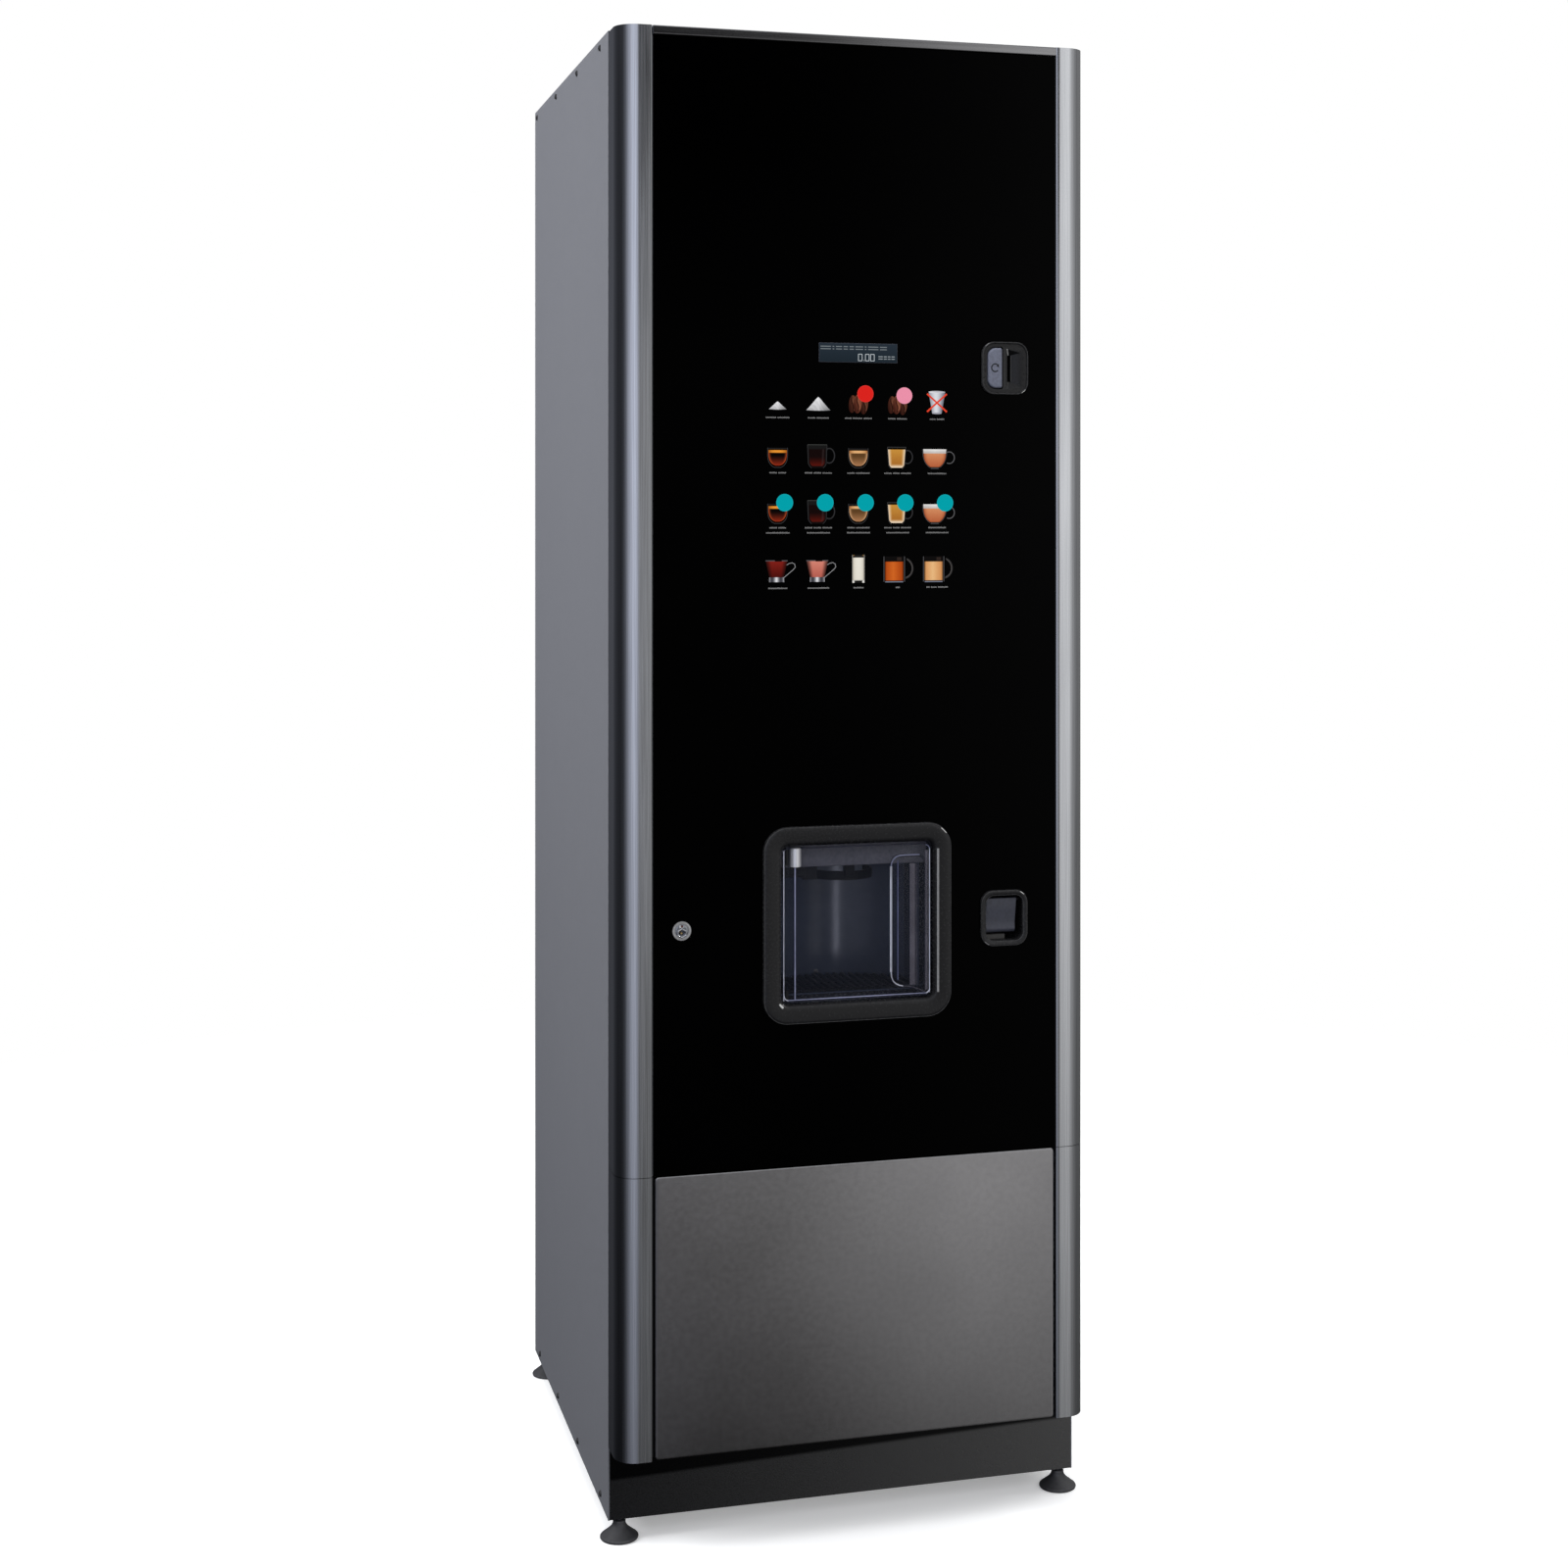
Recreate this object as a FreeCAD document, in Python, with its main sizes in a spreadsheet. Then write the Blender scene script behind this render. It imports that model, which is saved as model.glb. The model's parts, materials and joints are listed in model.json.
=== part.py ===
import FreeCAD, Part
import math
import os
import Sketcher
from FreeCAD import Placement, Rotation, Vector

# Hot coffee vending machine, floor standing: sheet cabinet, hinged door, works inside.
# Frame: millimetres, +X to the customer's right, +Y to the back, +Z up.
# Origin: middle of the footprint, on the floor.

os.makedirs("parts", exist_ok=True)
doc = FreeCAD.newDocument("coffee_machine")
sheet = doc.addObject("Spreadsheet::Sheet", "Dims")
cells = set()
pieces = []


# ---- spreadsheet of driving dimensions ----
def dim(alias, value):
    """Put one dimension in the sheet and return the expression that reads it."""
    if alias not in cells:
        row = len(cells) + 1
        sheet.set(f"A{row}", alias)
        sheet.set(f"B{row}", repr(round(float(value), 4)))
        sheet.setAlias(f"B{row}", alias)
        cells.add(alias)
    return "Dims." + alias


def main_size(alias, value):
    """Put a size shared by several pieces in the sheet and return its value."""
    dim(alias, value)
    return value


def drive(obj, prop, alias, value):
    obj.setExpression(prop, dim(alias, value))


# ---- main sizes ----
HALF_X = main_size("body_half", 275.0)
FRONT_Y = main_size("front_face", -306.5)      # front of the glass and the lower panel
SEAM_Y = main_size("seam_face", -252.9)        # front edge of the cabinet
BACK_Y = main_size("back_face", 306.5)
CABINET_LOW = main_size("cabinet_low", 24.0)
CABINET_HIGH = main_size("cabinet_high", 1681.4)
SKIN = main_size("skin", 1.5)
INNER_HALF = main_size("inner_half", 273.3)    # half width of the sheets between the sides
DOOR_FRONT_Y = main_size("door_front", -308.0)
DOOR_DEPTH = main_size("door_thickness", 53.6)
DOOR_LOW = main_size("door_low", 106.5)
DOOR_HIGH = main_size("door_high", 1679.2)
GLASS_LOW = main_size("glass_low", 418.2)
GLASS_HIGH = main_size("glass_high", 1668.5)
GLASS_HALF = main_size("glass_half", 234.7)
GLASS_THICK = main_size("glass_thick", 6.0)
BEZEL_PROUD = main_size("bezel_proud", 5.0)
HINGE_X = main_size("hinge_x", 267.0)
HINGE_Y = main_size("hinge_y", -262.4)
HINGE_PIN_RADIUS = main_size("hinge_pin_radius", 4.0)
HINGE_HOLE_RADIUS = main_size("hinge_hole_radius", 4.05)
STEM_RADIUS = main_size("stem_radius", 5.0)
FOOT_X = main_size("foot_x", 260.9)
FOOT_FRONT_Y = main_size("foot_front_y", -243.3)
FOOT_REAR_Y = main_size("foot_rear_y", 278.5)
HOSE_RADIUS = main_size("hose_radius", 4.5)

DOOR_REAR_Y = DOOR_FRONT_Y + DOOR_DEPTH

# foot positions: name, x, y
FEET = [
    ("front_left", -FOOT_X, FOOT_FRONT_Y), ("front_right", FOOT_X, FOOT_FRONT_Y),
    ("rear_left", -FOOT_X, FOOT_REAR_Y), ("rear_right", FOOT_X, FOOT_REAR_Y),
]
# side screw rows: height, then the y of each screw
SCREW_ROWS = {
    "top": (CABINET_HIGH - 9.3, [-199.8, -39.9, 122.7, 286.5]),
    "low": (35.0, [-204.2, -46.1, 105.1, 259.1]),
}

# centres on the door front: x, z
HATCH_CENTRE = (-1.8, 686.0)
COIN_CENTRE = (171.9, 1309.9)
RETURN_CENTRE = (171.0, 683.7)
LOCK_X, LOCK_Z = -203.2, 686.1


def piece(label, shape):
    """Label a finished object and list it for export."""
    shape.Label = label
    pieces.append(shape)


# ---- Part primitives, each bound to its own cells ----
def block(key, x, y, z):
    """Box between the (low, high) limits given for each axis."""
    box = doc.addObject("Part::Box", key)
    for tag, prop, (low, high) in (("len", "Length", x), ("wid", "Width", y),
                                   ("hgt", "Height", z)):
        drive(box, prop, f"{key}_{tag}", high - low)
    for axis, limits in zip("xyz", (x, y, z)):
        drive(box, "Placement.Base." + axis, f"{key}_p{axis}", limits[0])
    return box


# rotations that turn a primitive's own z axis along +z, +x or +y
AXES = {"z": Rotation(), "x": Rotation(Vector(0, 1, 0), 90), "y": Rotation(Vector(1, 0, 0), -90)}


def rod(key, base, axis, radius, length, end_radius=None):
    """Cylinder, or a cone when the far end has its own radius."""
    if end_radius is None:
        solid = doc.addObject("Part::Cylinder", key)
        drive(solid, "Radius", key + "_rad", radius)
    else:
        solid = doc.addObject("Part::Cone", key)
        drive(solid, "Radius1", key + "_rada", radius)
        drive(solid, "Radius2", key + "_radb", end_radius)
    solid.Placement = Placement(Vector(0, 0, 0), AXES[axis])
    drive(solid, "Height", key + "_hgt", length)
    for name, value in zip("xyz", base):
        drive(solid, "Placement.Base." + name, f"{key}_p{name}", value)
    return solid


def fuse(key, *shapes):
    fusion = doc.addObject("Part::MultiFuse", key)
    fusion.Shapes = list(shapes)
    return fusion


def cut(key, base, *tools):
    result = doc.addObject("Part::Cut", key)
    result.Base = base
    result.Tool = tools[0] if len(tools) == 1 else fuse(key + "_tools", *tools)
    return result


def group(key, *shapes):
    compound = doc.addObject("Part::Compound", key)
    compound.Links = list(shapes)
    return compound


def mirrored(key, source):
    """Mirror image across the plane x = 0."""
    image = doc.addObject("Part::Mirroring", key)
    image.Source = source
    image.Normal = (1, 0, 0)
    image.Base = (0, 0, 0)
    return image


# ---- bodies and sketches ----
# Sketch axes: XY plane is (X, Y) facing up, YZ is (Y, Z) facing right,
# XZ is (X, Z) facing the front, so its pads and offsets go towards -Y.
def refresh(*objects):
    """Bring only the named objects up to date, after the sheet."""
    sheet.recompute()
    for obj in objects:
        obj.recompute()


def new_body(key, x, y, z):
    body = doc.addObject("PartDesign::Body", key)
    for axis, value in zip("xyz", (x, y, z)):
        drive(body, "Placement.Base." + axis, f"{key}_b{axis}", value)
    return body


def origin_part(body, role):
    for feature in body.Origin.OriginFeatures:
        if feature.Role == role:
            return feature
    raise RuntimeError(role)


def new_sketch(body, key, plane, offset):
    sketch = body.newObject("Sketcher::SketchObject", key)
    sketch.AttachmentSupport = [(origin_part(body, plane + "_Plane"), "")]
    sketch.MapMode = "FlatFace"
    for axis, value in zip("xyz", offset):
        drive(sketch, "AttachmentOffset.Base." + axis, f"{key}_o{axis}", value)
    return sketch


def tie(sketch, kind, *refs):
    sketch.addConstraint(Sketcher.Constraint(kind, *refs))


def measure(sketch, tag, value, kind, *refs):
    """Add a dimension constraint that reads its own cell."""
    index = sketch.addConstraint(Sketcher.Constraint(kind, *refs, float(value)))
    sketch.setExpression(f"Constraints[{index}]", dim(f"{sketch.Name}_{tag}", value))


def line(sketch, start, end):
    return sketch.addGeometry(Part.LineSegment(Vector(*start, 0), Vector(*end, 0)), False)


def outline(body, key, plane, points, offset=(0, 0, 0)):
    """Sketch of a closed polyline, every corner tied to the sketch origin."""
    sketch = new_sketch(body, key, plane, offset)
    count = len(points)
    lines = [line(sketch, points[i], points[(i + 1) % count]) for i in range(count)]
    for i in range(count):
        tie(sketch, "Coincident", lines[i], 2, lines[(i + 1) % count], 1)
    for i, (x, y) in enumerate(points):
        for kind, value, tag, axis in (("DistanceX", x, "u", -2), ("DistanceY", y, "v", -1)):
            if abs(value) < 1e-9:
                tie(sketch, "PointOnObject", lines[i], 1, axis)
            else:
                measure(sketch, f"{tag}{i}", value, kind, -1, 1, lines[i], 1)
    return sketch


def rectangle(body, key, plane, offset, width, height, corner=0):
    """Sketch of a rectangle, rounded if corner is given, lower-left at the offset."""
    if not corner:
        points = [(0, 0), (width, 0), (width, height), (0, height)]
        return outline(body, key, plane, points, offset)
    sketch = new_sketch(body, key, plane, offset)
    right, top = width - corner, height - corner
    lines = [line(sketch, start, end) for start, end in (
        ((corner, 0), (right, 0)), ((width, corner), (width, top)),
        ((right, height), (corner, height)), ((0, top), (0, corner)))]
    quarter = math.pi / 2
    arcs = []
    for x, y, start in ((right, corner, -quarter), (right, top, 0),
                        (corner, top, quarter), (corner, corner, 2 * quarter)):
        ring = Part.Circle(Vector(x, y, 0), Vector(0, 0, 1), corner)
        arcs.append(sketch.addGeometry(Part.ArcOfCircle(ring, start, start + quarter), False))
    for i in range(4):
        tie(sketch, "Tangent", lines[i], 2, arcs[i], 1)
        tie(sketch, "Tangent", arcs[i], 2, lines[(i + 1) % 4], 1)
    for i in (1, 2, 3):
        tie(sketch, "Equal", arcs[0], arcs[i])
    tie(sketch, "Horizontal", lines[0])
    tie(sketch, "Vertical", lines[1])
    tie(sketch, "Horizontal", lines[2])
    tie(sketch, "PointOnObject", lines[0], 1, -1)
    tie(sketch, "PointOnObject", lines[3], 1, -2)
    measure(sketch, "corner", corner, "Radius", arcs[0])
    measure(sketch, "width", width, "DistanceX", lines[3], 1, lines[1], 1)
    measure(sketch, "height", height, "DistanceY", lines[0], 1, lines[2], 2)
    return sketch


def disc(body, key, plane, offset, radius):
    sketch = new_sketch(body, key, plane, offset)
    ring = sketch.addGeometry(Part.Circle(Vector(0, 0, 0), Vector(0, 0, 1), radius), False)
    measure(sketch, "radius", radius, "Radius", ring)
    tie(sketch, "Coincident", ring, 3, -1, 1)
    return sketch


def arched(body, key, lift, left, right, front, side, crown):
    """XY sketch with a flat front, straight sides up to y = side and an arched back."""
    sketch = new_sketch(body, key, "XY", (0, 0, lift))
    left_line = line(sketch, (left, side), (left, front))
    front_line = line(sketch, (left, front), (right, front))
    right_line = line(sketch, (right, front), (right, side))
    back_arc = sketch.addGeometry(
        Part.Arc(Vector(right, side, 0), Vector((left + right) / 2, crown, 0),
                 Vector(left, side, 0)), False)
    loop = [left_line, front_line, right_line, back_arc]
    for i in range(4):
        tie(sketch, "Coincident", loop[i], 2, loop[(i + 1) % 4], 1)
    measure(sketch, "left", left, "DistanceX", -1, 1, left_line, 1)
    measure(sketch, "side", side, "DistanceY", -1, 1, left_line, 1)
    measure(sketch, "right", right, "DistanceX", -1, 1, right_line, 2)
    return sketch


# ---- body features ----
def pad(body, sketch, length, reverse=False):
    key = sketch.Name + "_pad"
    feature = body.newObject("PartDesign::Pad", key)
    feature.Profile = sketch
    feature.Reversed = reverse
    drive(feature, "Length", key + "_depth", length)
    refresh(sketch, feature, body)
    return feature


def check_removed(body, volume, key):
    if not body.Shape.Volume < volume - 1e-6:
        raise RuntimeError(key + " removed nothing")


def pocket(body, sketch, length=None, reverse=False):
    """Cut against the sketch normal, or along it if reversed; no length cuts through."""
    volume = body.Shape.Volume
    key = sketch.Name + "_cut"
    feature = body.newObject("PartDesign::Pocket", key)
    feature.Profile = sketch
    feature.Reversed = reverse
    if length is None:
        feature.Type = "ThroughAll"
    else:
        drive(feature, "Length", key + "_depth", length)
    refresh(sketch, feature, body)
    check_removed(body, volume, key)
    return feature


def fillet(body, key, radius, pick):
    """Round every edge whose bounding box is picked."""
    edges = [f"Edge{i}" for i, edge in enumerate(body.Shape.Edges, 1) if pick(edge.BoundBox)]
    if not edges:
        raise RuntimeError(key + " found no edge")
    previous = body.Tip
    feature = body.newObject("PartDesign::Fillet", key)
    feature.Base = (previous, edges)
    drive(feature, "Radius", key + "_size", radius)
    refresh(feature, body)


def near(first, second):
    return abs(first - second) < 0.05


def repeat(body, key, feature, axis, pitch, count):
    """Repeat a feature along an axis of its own sketch."""
    pattern = body.newObject("PartDesign::LinearPattern", key)
    pattern.Originals = [feature]
    pattern.Direction = (feature.Profile[0], [axis])
    drive(pattern, "Length", key + "_run", pitch * (count - 1))
    pattern.Occurrences = count
    body.Tip = pattern
    refresh(pattern, body)


def add_loft(body, key, profile, section):
    feature = body.newObject("PartDesign::AdditiveLoft", key)
    feature.Profile = profile
    feature.Sections = [section]
    refresh(profile, section, feature, body)


def cut_loft(body, key, profile, section):
    volume = body.Shape.Volume
    feature = body.newObject("PartDesign::SubtractiveLoft", key)
    feature.Profile = profile
    feature.Sections = [section]
    refresh(profile, section, feature, body)
    check_removed(body, volume, key)


def tray(key, place, plane, size, depth, wall, floor, corners=(0, 0), open_far=True):
    """Hollow tray; corners are the outer and inner radii.

    It opens on the side the sketch plane faces, or on the sketch plane itself.
    """
    body = new_body(key, *place)
    width, height = size
    pad(body, rectangle(body, key + "_outline", plane, (0, 0, 0), width, height, corners[0]),
        depth)
    offset = (wall, wall, depth if open_far else 0.0)
    inside = rectangle(body, key + "_inside", plane, offset,
                       width - 2 * wall, height - 2 * wall, corners[1])
    pocket(body, inside, depth - floor, reverse=not open_far)
    return body


# ================= cabinet =================
def screw_holes(key, x, length, *rows):
    holes = []
    for row in rows:
        z, places = SCREW_ROWS[row]
        for i, y in enumerate(places):
            holes.append(rod(f"{key}_{row}_{i}", (x, y, z), "x", 2.1, length))
    return holes


# side panels: outer skin with a front and a rear return flange
FLANGE_X = (-HALF_X + 1.0, -HALF_X + 20)
side_panel = cut(
    "side_left_drilled",
    fuse("side_left_sheet",
         block("side_skin", (-HALF_X, -HALF_X + SKIN), (SEAM_Y, BACK_Y),
               (CABINET_LOW, CABINET_HIGH)),
         block("side_front_flange", FLANGE_X, (SEAM_Y + 2, SEAM_Y + 3.5), (112, 1650)),
         block("side_rear_flange", FLANGE_X, (BACK_Y - 3.1, BACK_Y - 1.6), (80, 1650))),
    *screw_holes("side_hole", -HALF_X - 5, 15, "top", "low"))
piece("side_panel_left", side_panel)
piece("side_panel_right", mirrored("side_right", side_panel))

# back panel: two windows, two banks of vent slots and four wall stand-offs
back = new_body("back_sheet", -INNER_HALF, BACK_Y, CABINET_LOW + 0.3)
pad(back, rectangle(back, "back_outline", "XZ", (0, 0, 0), 2 * INNER_HALF, 1655.4), SKIN)
pocket(back, rectangle(back, "back_window", "XZ", (388.0, 46.0, SKIN), 91.0, 80.0))
pocket(back, rectangle(back, "back_socket", "XZ", (72.0, 55.0, SKIN), 52.0, 36.0))
for key, low, count in (("back_slot", 1340.0, 13), ("back_low_slot", 240.0, 8)):
    slot = pocket(back, rectangle(back, key, "XZ", (183.0, low, SKIN), 180.0, 5.0, 2.4))
    repeat(back, key + "_rows", slot, "V_Axis", 14.0, count)
STANDOFF_DEPTH = 5.0
for i, (x, z) in enumerate(((60, 250), (486, 250), (60, 1560), (486, 1560))):
    pad(back, disc(back, f"standoff_{i}", "XZ", (x, z, 0), 14.0), STANDOFF_DEPTH, reverse=True)
piece("back_panel", back)

# notch of the top panel and the kick plate round the hinge leaves: x, y
LEAF_NOTCH = ((240, 274), (SEAM_Y - 1, -220))

# top panel: shallow inverted tray
piece("top_panel", cut(
    "top_drilled",
    block("top_blank", (-INNER_HALF, INNER_HALF), (SEAM_Y, BACK_Y - 1.7),
          (1656.4, CABINET_HIGH)),
    block("top_hollow", (-INNER_HALF + SKIN, INNER_HALF - SKIN),
          (SEAM_Y + SKIN, BACK_Y - 1.7 - SKIN), (1650, CABINET_HIGH - SKIN)),
    block("top_notch", *LEAF_NOTCH, (CABINET_HIGH - SKIN - 0.1, CABINET_HIGH + 1)),
    *screw_holes("top_hole", -280, 560, "top")))

# base pan: upright tray with a bored boss over each foot
PAN_SHEET = 2.0
PAN_LOW = CABINET_LOW + 0.2
piece("base_pan", cut(
    "base_drilled",
    fuse("base_sheet",
         cut("base_tray",
             block("base_blank", (-INNER_HALF, INNER_HALF), (SEAM_Y + 1.6, BACK_Y - 1.7),
                   (PAN_LOW, 64)),
             block("base_hollow", (-INNER_HALF + PAN_SHEET, INNER_HALF - PAN_SHEET),
                   (SEAM_Y + 1.6 + PAN_SHEET, BACK_Y - 1.7 - PAN_SHEET),
                   (PAN_LOW + PAN_SHEET, 70))),
         *[rod("base_boss_" + name, (x, y, PAN_LOW), "z", 8.0, 14) for name, x, y in FEET]),
    *[rod("base_foot_" + name, (x, y, CABINET_LOW - 5), "z", STEM_RADIUS + 0.08, 30)
      for name, x, y in FEET],
    *screw_holes("base_hole", -280, 560, "low")))

# kick plate: L section under the door, its upper leg turned to the back; points are y, z
KICK_TOP = 81.8
kick = new_body("kick_sheet", -INNER_HALF, SEAM_Y, CABINET_LOW + 0.3)
pad(kick, outline(kick, "kick_profile", "YZ", [
    (0, 0), (SKIN, 0), (SKIN, KICK_TOP - SKIN), (30, KICK_TOP - SKIN), (30, KICK_TOP),
    (0, KICK_TOP)]), 2 * INNER_HALF)
piece("kick_plate", cut("kick_notched", kick, block("kick_notch", *LEAF_NOTCH, (101, 108))))

# upper and lower hinge leaves with their pins
LEAF = ((241, 273), (HINGE_Y - 9, -221))
UPPER_PIN_LOW = 1655
piece("hinge_brackets", group(
    "hinge_pair",
    fuse("hinge_upper",
         block("hinge_upper_leaf", *LEAF, (CABINET_HIGH - SKIN, CABINET_HIGH)),
         rod("hinge_upper_pin", (HINGE_X, HINGE_Y, UPPER_PIN_LOW), "z", HINGE_PIN_RADIUS,
             CABINET_HIGH - SKIN - UPPER_PIN_LOW + 0.5)),
    fuse("hinge_lower",
         block("hinge_lower_leaf", *LEAF, (102.2, 105.5)),
         rod("hinge_lower_pin", (HINGE_X, HINGE_Y, 105), "z", HINGE_PIN_RADIUS, 27))))


def panel_screw(side, y, z):
    """Tapered head outside, short shank through skin and tray flange; side is -1 or 1."""
    outward = Vector(side, 0, 0)
    face = side * HALF_X
    head = Part.makeCone(4.0, 2.6, 2.0, Vector(face, y, z), outward)
    shank = Part.makeCylinder(1.95, 9.0, Vector(face - side * 8.5, y, z), outward)
    recess = Part.makeCylinder(1.1, 1.2, Vector(face + side * 1.2, y, z), outward)
    return head.fuse(shank).cut(recess)


screws = doc.addObject("Part::Feature", "panel_screw_set")
screws.Shape = Part.makeCompound([panel_screw(side, y, z) for z, places in SCREW_ROWS.values()
                                  for y in places for side in (-1, 1)])
piece("panel_screws", screws)

# levelling feet, turned from one half profile: radius, height
FOOT_PROFILE = [
    (0, 0), (19.2, 0), (21.0, 1.5), (21.6, 5.0), (21.0, 9.5), (17.5, 12.0), (12.5, 14.5),
    (8.8, 17.6), (7.2, 20.6), (STEM_RADIUS, 20.6), (STEM_RADIUS, 66), (0, 66),
]
for name, x, y in FEET:
    key = "levelling_foot_" + name
    foot = new_body(key + "_body", x, y, 0)
    sketch = outline(foot, key + "_profile", "XZ", FOOT_PROFILE)
    turn = foot.newObject("PartDesign::Revolution", key + "_turn")
    turn.Profile = sketch
    turn.ReferenceAxis = (sketch, ["V_Axis"])
    turn.Angle = 360
    refresh(sketch, turn, foot)
    piece(key, foot)

# ================= door =================
# Posts are drawn from the front corner nearest the middle of the door.
POST_WIDTH = 47.0
POST_X = HALF_X - POST_WIDTH
LEDGE_FRONT, LEDGE_BACK = 7.8, 12.0    # ledge beside the glass, depth behind the door front
POST_CAP = 3.0                         # closed end of the bore


def upright_edge(x, y, tall):
    return lambda box: (near(box.ZLength, tall) and near(box.Center.x, x)
                        and near(box.Center.y, y))


def post_body(key, low, high, upper):
    """Right-hand post; an upper one has a ledge and is closed at the top."""
    body = new_body(key, POST_X, DOOR_FRONT_Y, low)
    tall = high - low
    inner = [(12, LEDGE_BACK), (0, LEDGE_BACK), (0, LEDGE_FRONT)] if upper else [(12, LEDGE_FRONT)]
    pad(body, outline(body, key + "_profile", "XY", [
        (7, 0), (POST_WIDTH, 0), (POST_WIDTH, DOOR_DEPTH), (12, DOOR_DEPTH), *inner,
        (7, LEDGE_FRONT)]), tall)
    bounds = body.Shape.BoundBox
    fillet(body, key + "_front_round", 25.0, upright_edge(bounds.XMax, bounds.YMin, tall))
    bore = rectangle(body, key + "_bore", "XY", (14.5, 20.0, 0.0 if upper else tall), 29.3, 30.4)
    pocket(body, bore, tall - POST_CAP, reverse=upper)
    return body


def right_post(key, low, high, upper):
    """Post with a hinge pin hole in its closed end and a rounded outer rear edge."""
    body = post_body(key, low, high, upper)
    tall = high - low
    place = (HINGE_X - POST_X, HINGE_Y - DOOR_FRONT_Y, tall if upper else 0.0)
    pocket(body, disc(body, key + "_pivot", "XY", place, HINGE_HOLE_RADIUS), 4.0,
           reverse=not upper)
    bounds = body.Shape.BoundBox
    fillet(body, key + "_rear_round", 8.0, upright_edge(bounds.XMax, bounds.YMax, tall))
    return body


def left_post(key, low, high, upper):
    return mirrored(key, post_body(key + "_blank", low, high, upper))


UPPER_POST = (417.8, DOOR_HIGH, True)
LOWER_POST = (DOOR_LOW, 417.2, False)
piece("door_pillar_right", right_post("post_right", *UPPER_POST))
piece("door_pillar_left", left_post("post_left", *UPPER_POST))
piece("lower_corner_right", right_post("corner_right", *LOWER_POST))
piece("lower_corner_left", left_post("corner_left", *LOWER_POST))

# top rail: stepped section across the top of the door, notched round the post ledges
RAIL_LOW = 1655.0
rail = new_body("rail_top", -GLASS_HALF, DOOR_FRONT_Y, RAIL_LOW)
RAIL_TOP = DOOR_HIGH - RAIL_LOW
pad(rail, outline(rail, "rail_top_profile", "YZ", [
    (0, 14), (4, 14), (4, RAIL_TOP - 2), (DOOR_DEPTH - 2, RAIL_TOP - 2), (DOOR_DEPTH - 2, 0),
    (DOOR_DEPTH, 0), (DOOR_DEPTH, RAIL_TOP), (0, RAIL_TOP)]), 2 * GLASS_HALF)
NOTCH_GAP = 0.2
NOTCH_Y = (DOOR_FRONT_Y + LEDGE_FRONT - NOTCH_GAP, DOOR_FRONT_Y + LEDGE_BACK + NOTCH_GAP)
piece("door_top_rail", cut(
    "rail_notched", rail,
    block("rail_notch_left", (-236, -POST_X + NOTCH_GAP), NOTCH_Y, (1676, 1681)),
    block("rail_notch_right", (POST_X - NOTCH_GAP, 236), NOTCH_Y, (1676, 1681))))

# glass front with its cut-outs: name, centre, width, height
glass = new_body("glass_sheet", -GLASS_HALF, FRONT_Y + GLASS_THICK, GLASS_LOW)
pad(glass, rectangle(glass, "glass_outline", "XZ", (0, 0, 0), 2 * GLASS_HALF,
                     GLASS_HIGH - GLASS_LOW), GLASS_THICK)
for key, (x, z), width, height in (("glass_hatch", HATCH_CENTRE, 184, 184),
                                   ("glass_coin", COIN_CENTRE, 47, 51),
                                   ("glass_return", RETURN_CENTRE, 47, 54)):
    place = (x - width / 2 + GLASS_HALF, z - height / 2 - GLASS_LOW, GLASS_THICK)
    pocket(glass, rectangle(glass, key, "XZ", place, width, height, 10))
pocket(glass, disc(glass, "glass_lock", "XZ",
                   (LOCK_X + GLASS_HALF, LOCK_Z - GLASS_LOW, GLASS_THICK), 9.3))
piece("door_glass", glass)

# lower panel: shallow tray, open to the back
LOWER_DEPTH = 14.0
piece("lower_panel", tray("lower_sheet", (-232.5, FRONT_Y + LOWER_DEPTH, 107.0), "XZ",
                          (465.0, 309.8), depth=LOWER_DEPTH, wall=2.0, floor=2.0,
                          corners=(4.0, 2.5), open_far=False))

# door liner: tray open to the front, with windows and a shelf behind it
LINER_HALF, LINER_LOW, LINER_DEPTH = 239.3, 110.0, 37.6
liner = tray("liner_sheet", (-LINER_HALF, DOOR_REAR_Y, LINER_LOW), "XZ",
             (2 * LINER_HALF, 1544.0), depth=LINER_DEPTH, wall=2.0, floor=2.0)
# windows: name, left, right, low, high
for key, left, right, low, high in (("liner_hatch", -96, 92.5, 591, 781),
                                    ("liner_coin", 144, 202, 1278, 1342),
                                    ("liner_return", 145, 197, 650, 718),
                                    ("liner_lock", -216, -190, 673, 699)):
    place = (left + LINER_HALF, low - LINER_LOW, LINER_DEPTH)
    pocket(liner, rectangle(liner, key, "XZ", place, right - left, high - low, 5.0))
piece("door_liner", fuse(
    "liner_with_shelf", liner,
    block("liner_shelf", (126, 234), (-255.0, -166.0), (436, 439.5)),
    block("liner_shelf_lip", (126, 234), (-167.5, -166.0), (436, 446))))

# display and touch board behind the glass
piece("display_module", fuse(
    "display_board",
    block("touch_board", (-118, 118), (FRONT_Y + GLASS_THICK + 0.2, FRONT_Y + 9.5), (1045, 1350)),
    block("display_case", (-60, 60), (FRONT_Y + 9.0, -282), (1292, 1349)),
    block("touch_chip_box", (-90, 90), (FRONT_Y + 9.0, -286), (1090, 1240))))


def centred(body, key, middle, lift, width, height, corner):
    """Rounded rectangle round a middle point on the front-facing plane."""
    place = (middle[0] - width / 2, middle[1] - height / 2, lift)
    return rectangle(body, key, "XZ", place, width, height, corner)


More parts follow.
